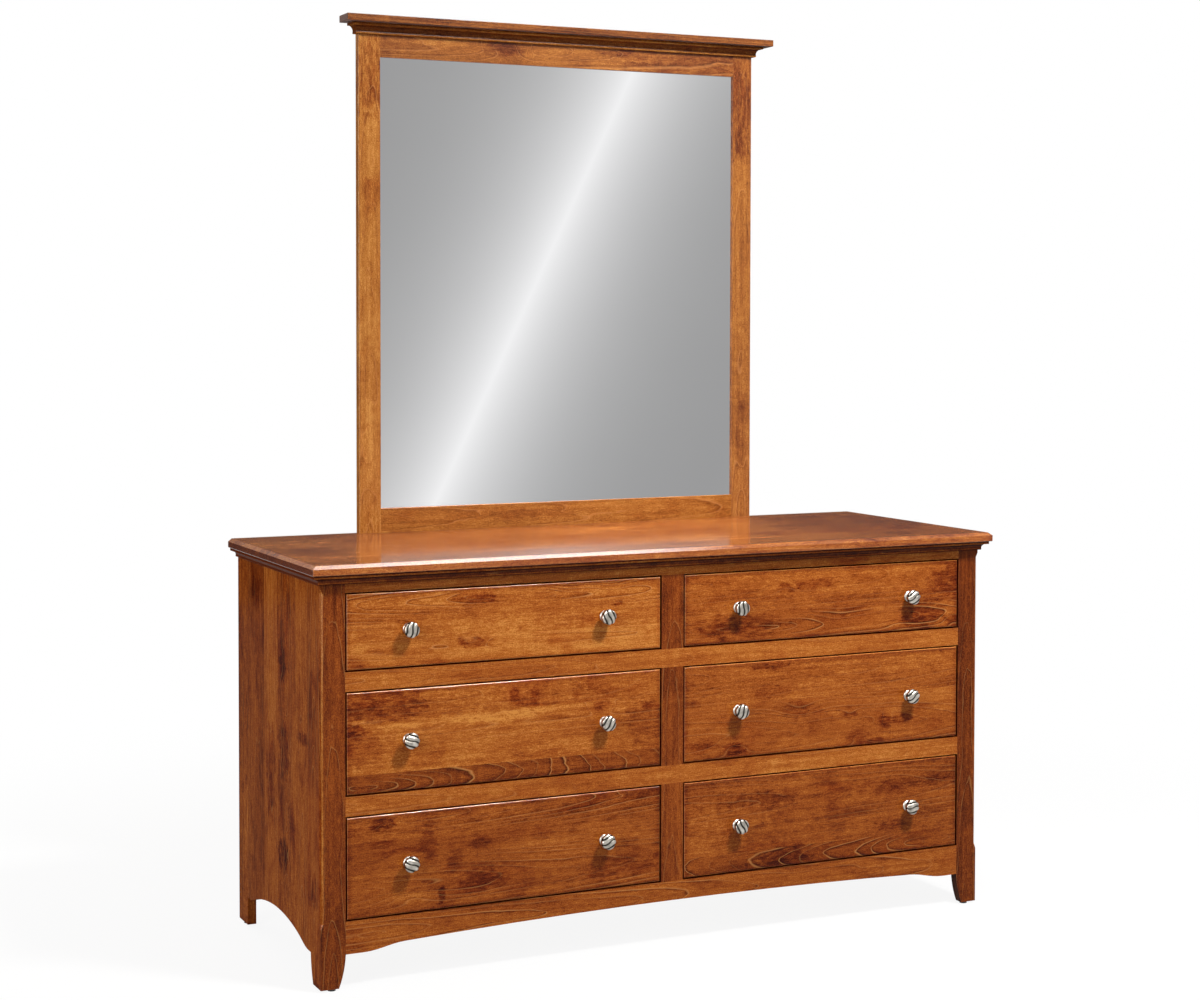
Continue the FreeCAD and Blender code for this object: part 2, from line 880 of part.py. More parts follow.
save("mirror_stile_right", [mirror_stile()])
save("mirror_stile_left", [mirrored(mirror_stile())])
save("mirror_bottom_rail", [mirror_rail(z_top, z_sight_low, z_sight_low)])
save("mirror_top_rail", [mirror_rail(z_sight_high, z_cap, z_sight_high)])
save("mirror_moulding", moulding(half_mirror, mirror_front, case_depth, z_cap, mirror_mould_sizes))
save("mirror_cap", [mirror_cap()])
save("mirror_glass", [mirror_sheet(mirror_front + glass_set_back, glass_thick)])
save("mirror_backboard", [mirror_sheet(mirror_front + glass_set_back + glass_thick, backboard_thick)])
save("mirror_supports", mirror_supports())
save("mirror_screws", mirror_screws())

for row_index, (row, opening_low, opening_height) in enumerate(rows):
    for side_index, (side_name, hand) in enumerate(sides):
        drawer = "drawer_" + row + "_" + side_name
        number = 2 * row_index + side_index
        save(drawer + "_front", [drawer_front(hand, opening_low, opening_height)])
        save(drawer + "_box", drawer_box(hand, opening_low, opening_height))
        save(drawer + "_knobs", drawer_knobs(number, hand, opening_low, opening_height))
        save(drawer + "_runners", drawer_slides(hand, opening_low, opening_height))
        save("middle_runners_" + row + "_" + side_name, middle_slides(hand, opening_low, opening_height))
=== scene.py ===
import bpy
import math
from collections import namedtuple
from functools import partialmethod
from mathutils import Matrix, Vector


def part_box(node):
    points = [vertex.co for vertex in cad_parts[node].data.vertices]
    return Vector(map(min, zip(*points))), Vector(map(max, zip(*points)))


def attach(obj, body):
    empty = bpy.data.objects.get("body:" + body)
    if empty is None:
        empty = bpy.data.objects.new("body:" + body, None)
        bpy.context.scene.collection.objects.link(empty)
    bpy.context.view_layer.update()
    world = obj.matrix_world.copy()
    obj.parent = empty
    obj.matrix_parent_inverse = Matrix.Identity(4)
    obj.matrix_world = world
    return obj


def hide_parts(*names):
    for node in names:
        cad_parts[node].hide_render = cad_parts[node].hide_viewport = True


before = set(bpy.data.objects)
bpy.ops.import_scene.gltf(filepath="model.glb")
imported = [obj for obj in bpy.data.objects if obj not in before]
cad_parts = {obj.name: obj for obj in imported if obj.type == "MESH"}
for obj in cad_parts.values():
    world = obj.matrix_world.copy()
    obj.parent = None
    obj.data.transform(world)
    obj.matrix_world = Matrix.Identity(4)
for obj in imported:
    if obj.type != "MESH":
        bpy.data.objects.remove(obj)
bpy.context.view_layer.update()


def srgb(red, green, blue):
    """A colour as a paint chart gives it, 0 to 255, for a shader."""
    def linear(value):
        share = value / 255
        return share / 12.92 if share <= 0.04045 else ((share + 0.055) / 1.055) ** 2.4
    return (linear(red), linear(green), linear(blue), 1.0)


def shades(*chart):
    """Colours from dark to light."""
    return tuple(srgb(*colour) for colour in chart)


# Colours of the finishes
WHITE = (1.0, 1.0, 1.0, 1.0)
STAIN = shades((60, 21, 7), (102, 43, 14), (143, 69, 23), (177, 98, 36), (209, 138, 64))
STAIN_LINE = srgb(206, 140, 76)
AMBER = shades((61, 24, 8), (101, 47, 16), (140, 73, 26), (173, 102, 40), (204, 138, 68))
HONEY = shades((62, 27, 10), (100, 50, 18), (134, 76, 29), (166, 104, 43), (196, 138, 70))
STAIN_RED = srgb(255, 222, 204)
CLEAR = shades((158, 108, 62), (190, 142, 90), (214, 172, 120), (228, 192, 142), (238, 208, 164))
CLEAR_LINE = srgb(176, 126, 76)
PLAIN = shades((120, 78, 42), (150, 104, 62), (176, 130, 84), (192, 148, 102), (206, 166, 120))
PLAIN_LINE = srgb(140, 96, 56)
PANEL = shades((96, 58, 30), (122, 76, 40), (146, 96, 54), (164, 112, 66), (180, 130, 80))
PANEL_LINE = srgb(112, 70, 38)
NICKEL = shades((150, 144, 135), (206, 200, 190))
TARNISH = srgb(40, 37, 33)
ZINC = shades((168, 172, 176), (204, 207, 210))
GLIDE = shades((30, 26, 24), (52, 46, 42))
SILVERING = shades((236, 236, 237), (243, 243, 244))


class Nodes:
    """A node tree with short ways to add to it."""

    def __init__(self, tree):
        self.tree = tree

    def add(self, kind, inputs=None, **settings):
        node = self.tree.nodes.new(kind)
        for name, value in settings.items():
            setattr(node, name, value)
        for name, value in (inputs or {}).items():
            self.put(node.inputs[name], value)
        return node

    def put(self, socket, value):
        """Join a socket to another one or to a node's first result, or give it a constant."""
        if isinstance(value, bpy.types.Node):
            value = value.outputs[0]
        if isinstance(value, bpy.types.NodeSocket):
            self.tree.links.new(value, socket)
        else:
            socket.default_value = value

    def math(self, operation, *values):
        node = self.add("ShaderNodeMath", operation=operation)
        for socket, value in zip(node.inputs, values):
            self.put(socket, value)
        return node

    plus = partialmethod(math, "ADD")
    minus = partialmethod(math, "SUBTRACT")
    times = partialmethod(math, "MULTIPLY")
    times_plus = partialmethod(math, "MULTIPLY_ADD")
    over = partialmethod(math, "DIVIDE")
    larger = partialmethod(math, "MAXIMUM")
    unsigned = partialmethod(math, "ABSOLUTE")

    def vector(self, along, across, depth):
        return self.add("ShaderNodeCombineXYZ", {"X": along, "Y": across, "Z": depth})

    def split(self, vector):
        return self.add("ShaderNodeSeparateXYZ", {"Vector": vector}).outputs

    def where(self):
        """The place on the object that is being shaded."""
        return self.add("ShaderNodeTexCoord").outputs["Object"]

    def normal(self):
        """The way a face looks, along X, Y and Z."""
        return self.split(self.add("ShaderNodeNewGeometry").outputs["Normal"])

    def stretch(self, vector, sizes):
        node = self.add("ShaderNodeVectorMath", operation="MULTIPLY")
        self.put(node.inputs[0], vector)
        self.put(node.inputs[1], sizes)
        return node

    def noise(self, vector, seed, detail=2.0, roughness=0.5, distortion=0.0):
        return self.add("ShaderNodeTexNoise", {
            "Vector": vector, "W": seed, "Scale": 1.0, "Detail": detail, "Roughness": roughness,
            "Distortion": distortion}, noise_dimensions="4D")

    def chance(self, number):
        """A random number from 0 to 1 for each whole number."""
        return self.add("ShaderNodeTexWhiteNoise", {"W": number}, noise_dimensions="1D")

    def smooth(self, value, low, high, to_low=0.0, to_high=1.0):
        return self.add("ShaderNodeMapRange", {
            "Value": value, "From Min": low, "From Max": high, "To Min": to_low, "To Max": to_high},
            interpolation_type="SMOOTHSTEP")

    def ramp(self, factor, colours):
        """Colours at even steps."""
        node = self.add("ShaderNodeValToRGB", {"Fac": factor})
        stops = node.color_ramp.elements
        while len(stops) < len(colours):
            stops.new(0.5)
        for index, colour in enumerate(colours):
            stops[index].position = index / (len(colours) - 1)
            stops[index].color = colour
        return node

    def curve(self, factor, points):
        """A smooth curve through points from 0 to 1."""
        node = self.add("ShaderNodeFloatCurve", {"Value": factor})
        made = node.mapping.curves[0].points
        made[0].location, made[1].location = points[0], points[-1]
        for place in points[1:-1]:
            made.new(*place)
        node.mapping.update()
        return node

    def mix(self, factor, first, second, blend="MIX"):
        node = self.add("ShaderNodeMix", data_type="RGBA", blend_type=blend)
        self.put(node.inputs[0], factor)
        self.put(node.inputs[6], first)
        self.put(node.inputs[7], second)
        return node.outputs[2]

    def surface(self, shader):
        """Make a shader the surface of the material."""
        self.put(self.add("ShaderNodeOutputMaterial").inputs["Surface"], shader)

    def results(self, **values):
        """Hand out a group's results."""
        out = self.add("NodeGroupOutput").inputs
        for name, value in values.items():
            self.put(out[name], value)
        return self.tree


def new_group(name, kind, inputs, outputs):
    """The nodes of a new group and what it takes in, its sockets given as names with their kinds."""
    tree = bpy.data.node_groups.new(name, kind)
    for way, sockets in (("INPUT", inputs), ("OUTPUT", outputs)):
        for socket, value in sockets.items():
            tree.interface.new_socket(socket, in_out=way, socket_type="NodeSocket" + value)
    g = Nodes(tree)
    return g, g.add("NodeGroupInput").outputs


def floats(*names):
    return dict.fromkeys(names, "Float")


def new_material(name):
    material = bpy.data.materials.new(name)
    material.use_nodes = True
    material.node_tree.nodes.clear()
    return material, Nodes(material.node_tree)


def dress(node, material):
    """Give every face of a node one material."""
    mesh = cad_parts[node].data
    mesh.materials.clear()
    mesh.materials.append(material)


# Wood figure. Lengths in metres, frequencies in waves per metre along, across and into the board.
RING = 0.0062
RING_DRIFT = 0.45
RING_UNEVEN = 1.8
LEAST_RADIUS = 0.0001
WANDER = (2.6, 11.0, 11.0)
FLUTTER = (11.0, 42.0, 42.0)
CLOUD = (1.7, 7.0, 7.0)
BLOTCH = (9.0, 25.0, 25.0)
STREAK = (6.0, 170.0, 170.0)
MOTTLE = (34.0, 95.0, 95.0)
FLECK = (75.0, 620.0, 620.0)
SPECK = (330.0, 640.0, 640.0)
CURL = (48.0, 9.0, 9.0)
CURL_ZONE = (2.2, 6.0, 6.0)
LINE_ZONE = (5.0, 12.0, 12.0)
KNOT = (4.5, 10.0, 10.0)
HEART_ALONG = 2.2
HEART_OUT = 22.0
SLOPE_LEAST = 0.06
LINE_WIDTH = 0.0015
LINE_SHARE = 0.9
DUSK_WIDTH = 0.007
# How far each part of the figure moves the rings or the shade
WANDER_SIZE = 0.024
FLUTTER_SIZE = 0.005
CLOUD_SIZE = 0.4
STREAK_SIZE = 0.5
MOTTLE_SIZE = 0.3
FLECK_SIZE = 0.7
SPECK_SIZE = 0.85
CURL_SIZE = 0.5
KNOT_RAGGED = 0.5
EVEN_SHADE = 0.69
HEART_DARK = 0.24
BLOTCH_DARK = 0.4
DUSK_DARK = 0.34
KNOT_DARK = 0.3


def figure_group():
    """Group: how light or dark maple is at a place in its log, its ring lines and its pores."""
    g, into = new_group("maple_figure", "ShaderNodeTree", floats(
        "Along", "Across", "Depth", "Seed", "Log Across", "Log Depth", "Tilt", "Tone", "Figure", "Heart",
        "Dark", "Swell"), floats("Shade", "Line", "Pore", "Warm"))
    place = g.vector(into["Along"], into["Across"], into["Depth"])
    seed = into["Seed"]

    def grain(waves, step, *settings):
        """Noise that runs along the board, with a seed of its own."""
        return g.noise(g.stretch(place, waves), g.plus(seed, step), *settings)

    def around(value, size):
        """A value from 0 to 1 as a shift to either side."""
        return g.times(g.minus(value, 0.5), size)

    wander = around(grain(WANDER, 0), WANDER_SIZE)
    flutter = around(grain(FLUTTER, 11), FLUTTER_SIZE)
    lean = g.times_plus(into["Along"], into["Tilt"], into["Log Depth"])
    below = g.plus(g.plus(lean, into["Depth"]), g.plus(wander, flutter))
    below = g.plus(below, into["Swell"])
    beside = g.plus(g.minus(into["Across"], into["Log Across"]), g.times(wander, 0.5))
    radius = g.math("SQRT", g.times_plus(below, below, g.times(beside, beside)))
    away = g.larger(radius, LEAST_RADIUS)

    # Growth rings, of uneven width and strength, plain where the board is cut along them
    rings = g.over(radius, RING)
    uneven = g.noise(g.vector(g.times(rings, RING_DRIFT), 0.0, 0.0), g.plus(seed, 23))
    rings = g.plus(rings, around(uneven, RING_UNEVEN))
    share = g.math("FRACT", rings)
    ring_chance = g.chance(g.plus(g.math("FLOOR", rings), g.times(seed, 13))).outputs["Value"]
    flat_sawn = g.smooth(g.over(g.unsigned(below), away), 0.25, 0.9)
    zone = g.smooth(grain(LINE_ZONE, 31), 0.34, 0.54, 0.25, 1.0)
    plain = g.times(g.times(flat_sawn, zone), into["Figure"])
    plain = g.times(plain, g.smooth(ring_chance, 0.0, 0.8, 0.3, 1.0))
    slope = g.times(below, g.plus(g.unsigned(into["Tilt"]), SLOPE_LEAST))
    steep = g.over(g.math("SQRT", g.times_plus(slope, slope, g.times(beside, beside))), away)
    line_width = g.times(steep, LINE_WIDTH / RING)
    dusk_start = g.times_plus(steep, -DUSK_WIDTH / RING, LINE_SHARE)
    from_line = g.minus(share, LINE_SHARE)
    line = g.times(g.smooth(g.unsigned(from_line), line_width, 0.0), plain)
    dusk = g.times(g.smooth(share, dusk_start, LINE_SHARE), g.math("LESS_THAN", from_line, 0.0))
    dusk = g.times(dusk, plain)

    # Heartwood that follows the rings, knots, blotches of stain, streaks, flecks and curl
    ring_place = g.vector(g.times(into["Along"], HEART_ALONG), g.times(radius, HEART_OUT), 0.0)
    heart = g.smooth(g.noise(ring_place, g.plus(seed, 41), 4.0, 0.6, 0.9), 0.47, 0.68)
    heart = g.times(heart, into["Heart"])
    blotch = g.times(g.smooth(grain(BLOTCH, 53, 5.0, 0.6, 0.8), 0.47, 0.7), into["Heart"])
    cloud = around(grain(CLOUD, 57), CLOUD_SIZE)
    streak = around(grain(STREAK, 61, 3.0), STREAK_SIZE)
    mottle = around(grain(MOTTLE, 67, 3.0), MOTTLE_SIZE)
    fleck = grain(FLECK, 71)
    speck = around(grain(SPECK, 73, 1.0), SPECK_SIZE)
    curl_zone = g.smooth(grain(CURL_ZONE, 83), 0.5, 0.68)
    curl = g.times(around(grain(CURL, 89, 3.0, 0.6, 1.6), CURL_SIZE), curl_zone)
    bent = g.add("ShaderNodeVectorMath", operation="ADD")
    g.put(bent.inputs[0], g.stretch(place, KNOT))
    g.put(bent.inputs[1], g.vector(g.times(seed, 1.7), g.times(wander, 12.0), 0.0))
    cell = g.add("ShaderNodeTexVoronoi", {"Vector": bent, "Scale": 1.0}, voronoi_dimensions="3D")
    pick = g.split(cell.outputs["Color"])
    ragged = g.plus(cell.outputs["Distance"], around(grain(MOTTLE, 97, 3.0), KNOT_RAGGED))
    knot = g.smooth(ragged, 0.02, g.smooth(pick["Y"], 0.0, 1.0, 0.1, 0.34), 1.0, 0.0)
    knot = g.times(knot, g.times(g.smooth(pick["X"], 0.55, 0.75), into["Heart"]))

    shade = g.plus(g.plus(into["Tone"], EVEN_SHADE), g.plus(streak, curl))
    shade = g.plus(shade, g.plus(cloud, mottle))
    shade = g.plus(g.plus(shade, speck), around(fleck, FLECK_SIZE))
    darker = ((heart, HEART_DARK), (blotch, BLOTCH_DARK), (dusk, DUSK_DARK), (knot, KNOT_DARK))
    for part, dark in (*darker, (into["Dark"], 1.0)):
        shade = g.times_plus(part, -dark, shade)
    warm = g.times_plus(into["Dark"], 2.0, g.plus(g.plus(heart, blotch), knot))
    return g.results(Shade=shade, Line=line, Pore=g.smooth(fleck, 0.5, 0.35), Warm=g.smooth(warm, 0.1, 1.3))


# A finish: colours, ring lines, the tint of dark parts, lacquer, what differs on edges (their lift partly a
# painted highlight) and painted gap shade
Finish = namedtuple(
    "Finish", "colours line line_share warm coat coat_roughness roughness"
    " haze edge_colours edge_coat edge_lift gap_dark", defaults=(0.0, (), 0.0, 0.2, 0.0))
STAINED = Finish(STAIN, STAIN_LINE, 0.7, STAIN_RED, 0.14, 0.15, 0.5)
# Painted shade on the faces of fronts and frame that look into the gaps between them
STAINED_FRAME = STAINED._replace(gap_dark=0.4)
# Eased edges of fronts and posts lifted lighter: rubbed wear and a painted highlight where they catch the
# light
STAINED_FRONT = STAINED_FRAME._replace(edge_coat=0.75, edge_lift=0.5)
STAINED_POST = STAINED_FRAME._replace(edge_lift=0.46)
STAINED_TOP = STAINED._replace(colours=AMBER, coat=0.8, coat_roughness=0.12, haze=0.018, edge_colours=STAIN)
STAINED_SIDE = STAINED._replace(coat=0.05)
STAINED_MIRROR = STAINED._replace(colours=HONEY, coat=0.4)
CLEAR_MAPLE = Finish(CLEAR, CLEAR_LINE, 0.35, None, 0.15, 0.3, 0.55)
PLAIN_MAPLE = Finish(PLAIN, PLAIN_LINE, 0.4, None, 0.0, 0.5, 0.7)
BACKING = Finish(PANEL, PANEL_LINE, 0.45, None, 0.0, 0.5, 0.75)

# One board: where its log's heart lies, across and below the board, how the log leans, and its looks
Board = namedtuple("Board", "across depth tilt tone figure heart")
BOARD_INPUTS = ("Log Across", "Log Depth", "Tilt", "Tone", "Figure", "Heart")
# A knot, a dark or a pale patch: its middle from the middle of the piece, its size, darkness and ring swell
Mark = namedtuple("Mark", "along across length width dark swell", defaults=(0.0,))
QUIET = Board(0.0, 0.05, 0.03, -0.03, 0.5, 0.35)
AXES = {"x": ("X", "Z", "Y"), "z": ("Z", "X", "Y"), "side": ("Z", "Y", "X"), "flat": ("X", "Y", "Z")}
# Share of a slab's edge faces in the edge colours and the edge lift, that lift being rubbed wear and
# painted highlight
SLAB_EDGE_SHARE = 0.4
# How far a moulding's painted shade and highlight move its shade
PROFILE_SHADE_RANGE = 5.0
PROFILE_SHADE_EVEN = 0.5
END_CONTRAST = 0.25
END_SHADE = 0.12
END_LINE = 0.15
PORE_DULL = 0.12
PORE_DEPTH = 0.0003
PORE_STRENGTH = 0.08
BARE_GLOSS = 0.3
RAGGED = (34.0, 75.0, 75.0)
RAGGED_SIZE = 2.2
BROKEN = (45.0, 190.0, 190.0)
SWELL_FALL = 0.8
MARGIN = 0.014
MARGIN_DARK = 0.16
NEXT_BOARD = 3.7
# How far chance moves the logs of a panel's boards, and how strong their figure is
PANEL_STEP = 7.0
LOG_SEEDS = 40.0
LOG_DEPTH = 0.01
LOG_DEPTHS = 0.05
LOG_TILTS = 0.16
LOG_FIGURE = 0.8
LOG_HEART = 0.8
MAPLE_FIGURE = figure_group()


def end_and_edge(g, grain):
    """How far a face looks along the grain, and how far it is an eased edge between flat faces."""
    normal = g.normal()
    turned = {axis: g.unsigned(normal[axis]) for axis in "XYZ"}
    end = g.smooth(turned[AXES[grain][0]], 0.6, 0.95)
    flattest = g.larger(g.larger(turned["X"], turned["Y"]), turned["Z"])
    return end, g.smooth(flattest, 0.95, 0.75)


def gap_shade_faces(g):
    """How far a face of a front or of the frame looks into the gap between them, where the gap's shade is
    painted.
    """
    return g.smooth(g.unsigned(g.normal()["Y"]), 0.3, 0.1)


def edge_faces(g):
    """How far a slab's face is one of its edges."""
    return g.smooth(g.unsigned(g.normal()["Z"]), 0.5, 0.2, 0.0, SLAB_EDGE_SHARE)


def profile_shade_and_highlight(g, node, profile):
    """Painted shade and highlight up a moulding's profile: painted shade in its recesses, lighter along its
    edges from rubbed wear and a painted highlight.
    """
    low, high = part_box(node)
    share = g.over(g.minus(g.split(g.where())["Z"], low.z), high.z - low.z)
    return g.times_plus(g.curve(share, profile), PROFILE_SHADE_RANGE, -PROFILE_SHADE_RANGE * PROFILE_SHADE_EVEN)


def finish_wood(g, figure, finish, grain, rub_and_painted_light=None):
    """Stain and lacquer over a figure: darker on end grain, painted shade in gaps, lighter along edges from
    rubbed wear and a painted highlight.
    """
    end, edge = end_and_edge(g, grain)
    edge = edge if rub_and_painted_light is None else rub_and_painted_light
    # Edges lifted lighter: rubbed wear and painted highlight
    shade = g.times_plus(edge, finish.edge_lift, figure["Shade"])
    end_shade = g.times_plus(figure["Shade"], END_CONTRAST, END_SHADE)
    shade = g.add("ShaderNodeMix", {"Factor": end, "A": shade, "B": end_shade})
    # Painted shade on faces that look into gaps
    if finish.gap_dark:
        shade = g.times_plus(gap_shade_faces(g), -finish.gap_dark, shade)
    colour = g.ramp(shade, finish.colours)
    if finish.edge_colours:
        colour = g.mix(g.smooth(edge, 0.0, SLAB_EDGE_SHARE), colour, g.ramp(shade, finish.edge_colours))
    if finish.warm:
        colour = g.mix(1.0, colour, g.mix(figure["Warm"], WHITE, finish.warm), "MULTIPLY")
    line_share = g.smooth(end, 0.0, 1.0, finish.line_share, END_LINE)
    colour = g.mix(g.times(figure["Line"], line_share), colour, finish.line)
    gloss = g.smooth(figure["Pore"], 0.0, 1.0, finish.roughness, finish.roughness + PORE_DULL)
    bump = g.add("ShaderNodeBump", {
        "Height": figure["Pore"], "Strength": PORE_STRENGTH, "Distance": -PORE_DEPTH})
    coat = g.times_plus(edge, finish.edge_coat, finish.coat) if finish.edge_coat else finish.coat
    g.surface(g.add("ShaderNodeBsdfPrincipled", {
        "Base Color": colour, "Roughness": gloss, "Normal": bump,
        "Specular IOR Level": 0.0 if finish.coat else BARE_GLOSS,
        "Coat Weight": coat, "Coat Roughness": finish.coat_roughness, "Sheen Weight": finish.haze}))


def start_wood(node, grain):
    """A new wood on a node, and where a point lies along, across and into the board from its middle."""
    material, g = new_material("wood_" + node)
    dress(node, material)
    low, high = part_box(node)
    centred = g.add("ShaderNodeMapping", {"Vector": g.where(), "Location": -(low + high) / 2})
    parts = g.split(centred)
    return g, [parts[axis] for axis in AXES[grain]]


def figure_at(g, place, settings):
    """What the maple figure gives at a place in a board."""
    settings.update(zip(("Along", "Across", "Depth"), place))
    return g.add("ShaderNodeGroup", settings, node_tree=MAPLE_FIGURE).outputs


def one_board(node, grain, seed, board, finish, profile=()):
    """A piece cut from one board."""
    g, place = start_wood(node, grain)
    figure = figure_at(g, place, {"Seed": float(seed), **dict(zip(BOARD_INPUTS, board))})
    finish_wood(g, figure, finish, grain, profile_shade_and_highlight(g, node, profile) if profile else None)


def mark_group():
    """Group: how near a place is to a ragged mark, and how far the rings swell round it."""
    g, into = new_group("maple_mark", "ShaderNodeTree", floats(
        "Along", "Across", "Ragged", "Mark Along", "Mark Across", "Half Length", "Half Width"),
        floats("Near", "Swell"))
    along = g.over(g.minus(into["Along"], into["Mark Along"]), into["Half Length"])
    across = g.over(g.minus(into["Across"], into["Mark Across"]), into["Half Width"])
    away = g.times_plus(along, along, g.times(across, across))
    near = g.smooth(g.plus(g.math("SQRT", away), into["Ragged"]), 1.05, 0.5)
    return g.results(Near=near, Swell=g.math("POWER", math.e, g.times(away, -SWELL_FALL)))


MAPLE_MARK = mark_group()


def marked(g, place, seed, marks):
    """Sums of a board's marks: how dark they make a place and how far they swell its rings."""
    along, across, depth = place
    where = g.vector(along, across, depth)
    ragged = g.noise(g.stretch(where, RAGGED), float(seed), 4.0, 0.65, 0.6)
    ragged = g.times_plus(ragged, RAGGED_SIZE, -RAGGED_SIZE / 2)
    dark = 0.0
    swell = 0.0
    for mark in marks:
        near = g.add("ShaderNodeGroup", {
            "Along": along, "Across": across, "Ragged": ragged, "Mark Along": mark.along,
            "Mark Across": mark.across, "Half Length": mark.length / 2, "Half Width": mark.width / 2},
            node_tree=MAPLE_MARK).outputs
        dark = g.times_plus(near["Near"], mark.dark, dark)
        swell = g.times_plus(near["Swell"], mark.swell, swell)
    broken = g.smooth(g.noise(g.stretch(where, BROKEN), seed + 5.0, 4.0, 0.6, 0.5), 0.36, 0.6, 0.35, 1.4)
    return g.times(dark, broken), swell


def margin_dark(g, node, place, grain, most):
    """Darker within a margin along a piece's edges."""
    low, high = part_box(node)
    dark = 0.0
    for part, axis in zip(place[:2], AXES[grain]):
        half = (high - low)["XYZ".index(axis)] / 2
        inward = g.minus(half, g.unsigned(part))
        dark = g.larger(dark, g.smooth(inward, MARGIN, 0.0, 0.0, most))
    return dark


def glued_up(node, grain, seed, splits, boards, marks, finish, margin=0.0):
    """A piece glued up from boards that meet at the splits, with their knots and marks."""
    g, place = start_wood(node, grain)
    past = [g.math("GREATER_THAN", place[1], split) for split in splits]

    def stepped(values):
        value = values[0]
        for step, before, after in zip(past, values, values[1:]):
            value = g.times_plus(step, after - before, value)
        return value

    dark, swell = marked(g, place, seed, marks) if marks else (0.0, 0.0)
    if margin:
        dark = g.plus(dark, margin_dark(g, node, place, grain, margin))
    settings = {name: stepped(values) for name, values in zip(BOARD_INPUTS, zip(*boards))}
    seeds = [seed + NEXT_BOARD * index for index in range(len(boards))]
    settings.update({"Swell": swell, "Dark": dark, "Seed": stepped(seeds)})
    finish_wood(g, figure_at(g, place, settings), finish, grain, edge_faces(g) if grain == "flat" else None)


def many_boards(node, grain, seed, width, spread, finish):
    """A panel glued up from boards of one width, each from its own log."""
    g, place = start_wood(node, grain)
    index = g.math("FLOOR", g.over(place[1], width))
    pick = g.chance(g.plus(index, seed * PANEL_STEP)).outputs
    parts = g.split(pick["Color"])
    middle = g.times(g.plus(index, 0.5), width)
    finish_wood(g, figure_at(g, place, {
        "Seed": g.times_plus(pick["Value"], LOG_SEEDS, float(seed)),
        "Log Across": g.plus(middle, g.times(g.minus(parts["X"], 0.5), width)),
        "Log Depth": g.times_plus(parts["Y"], LOG_DEPTHS, LOG_DEPTH),
        "Tilt": g.times(g.minus(parts["Z"], 0.5), LOG_TILTS),
        "Tone": g.times(g.minus(pick["Value"], 0.5), spread),
        "Figure": LOG_FIGURE, "Heart": LOG_HEART}), finish, grain)


# Brushed lines of the metals, waves per metre, and the unevenness of metal, plastic and silvering
NICKEL_LINES = (150.0, 150.0, 900.0)
ZINC_LINES = (600.0, 40.0, 600.0)
METAL_CLOUD = (90.0, 90.0, 90.0)
PLASTIC_GRAIN = (900.0, 900.0, 900.0)
SILVER_CLOUD = (3.0, 3.0, 3.0)
NICKEL_GLOSS = 0.33
ZINC_GLOSS = 0.34
GLOSS_SPREAD = 0.03
GRAIN_DEPTH = 0.0002


def metal(name, colours, roughness, stretch):
    """Bare or plated metal with fine brushed lines, dull and dark down its grooves."""
    material, g = new_material(name)
    where = g.where()
    lines = g.noise(g.stretch(where, stretch), 5.0, 3.0)
    tone = g.noise(g.stretch(where, METAL_CLOUD), 9.0, 3.0)
    groove = g.add("ShaderNodeAttribute", attribute_name="groove").outputs["Fac"]
    colour = g.mix(g.smooth(groove, 0.1, 0.65), g.ramp(g.smooth(tone, 0.3, 0.7), colours), TARNISH)
    gloss = g.smooth(lines, 0.3, 0.7, roughness - GLOSS_SPREAD, roughness + GLOSS_SPREAD)
    bump = g.add("ShaderNodeBump", {"Height": lines, "Strength": 0.02, "Distance": GRAIN_DEPTH})
    g.surface(g.add("ShaderNodeBsdfPrincipled", {
        "Base Color": colour, "Roughness": gloss, "Normal": bump, "Metallic": 1.0}))
    return material


def glide_plastic():
    """Dark moulded plastic with a fine grain."""
    material, g = new_material("glide_plastic")
    grain = g.noise(g.stretch(g.where(), PLASTIC_GRAIN), 2.0)
    bump = g.add("ShaderNodeBump", {"Height": grain, "Strength": 0.2, "Distance": GRAIN_DEPTH})
    g.surface(g.add("ShaderNodeBsdfPrincipled", {
        "Base Color": g.ramp(grain, GLIDE), "Roughness": g.smooth(grain, 0.3, 0.7, 0.45, 0.6),
        "Normal": bump}))
    return material


def mirror_silver():
    """Silvered glass, a little uneven in its silvering."""
    material, g = new_material("mirror_silver")
    cloud = g.noise(g.stretch(g.where(), SILVER_CLOUD), 1.0, 3.0)
    g.surface(g.add("ShaderNodeBsdfPrincipled", {
        "Base Color": g.ramp(cloud, SILVERING), "Roughness": g.smooth(cloud, 0.3, 0.7, 0.012, 0.02),
        "Metallic": 1.0}))
    return material


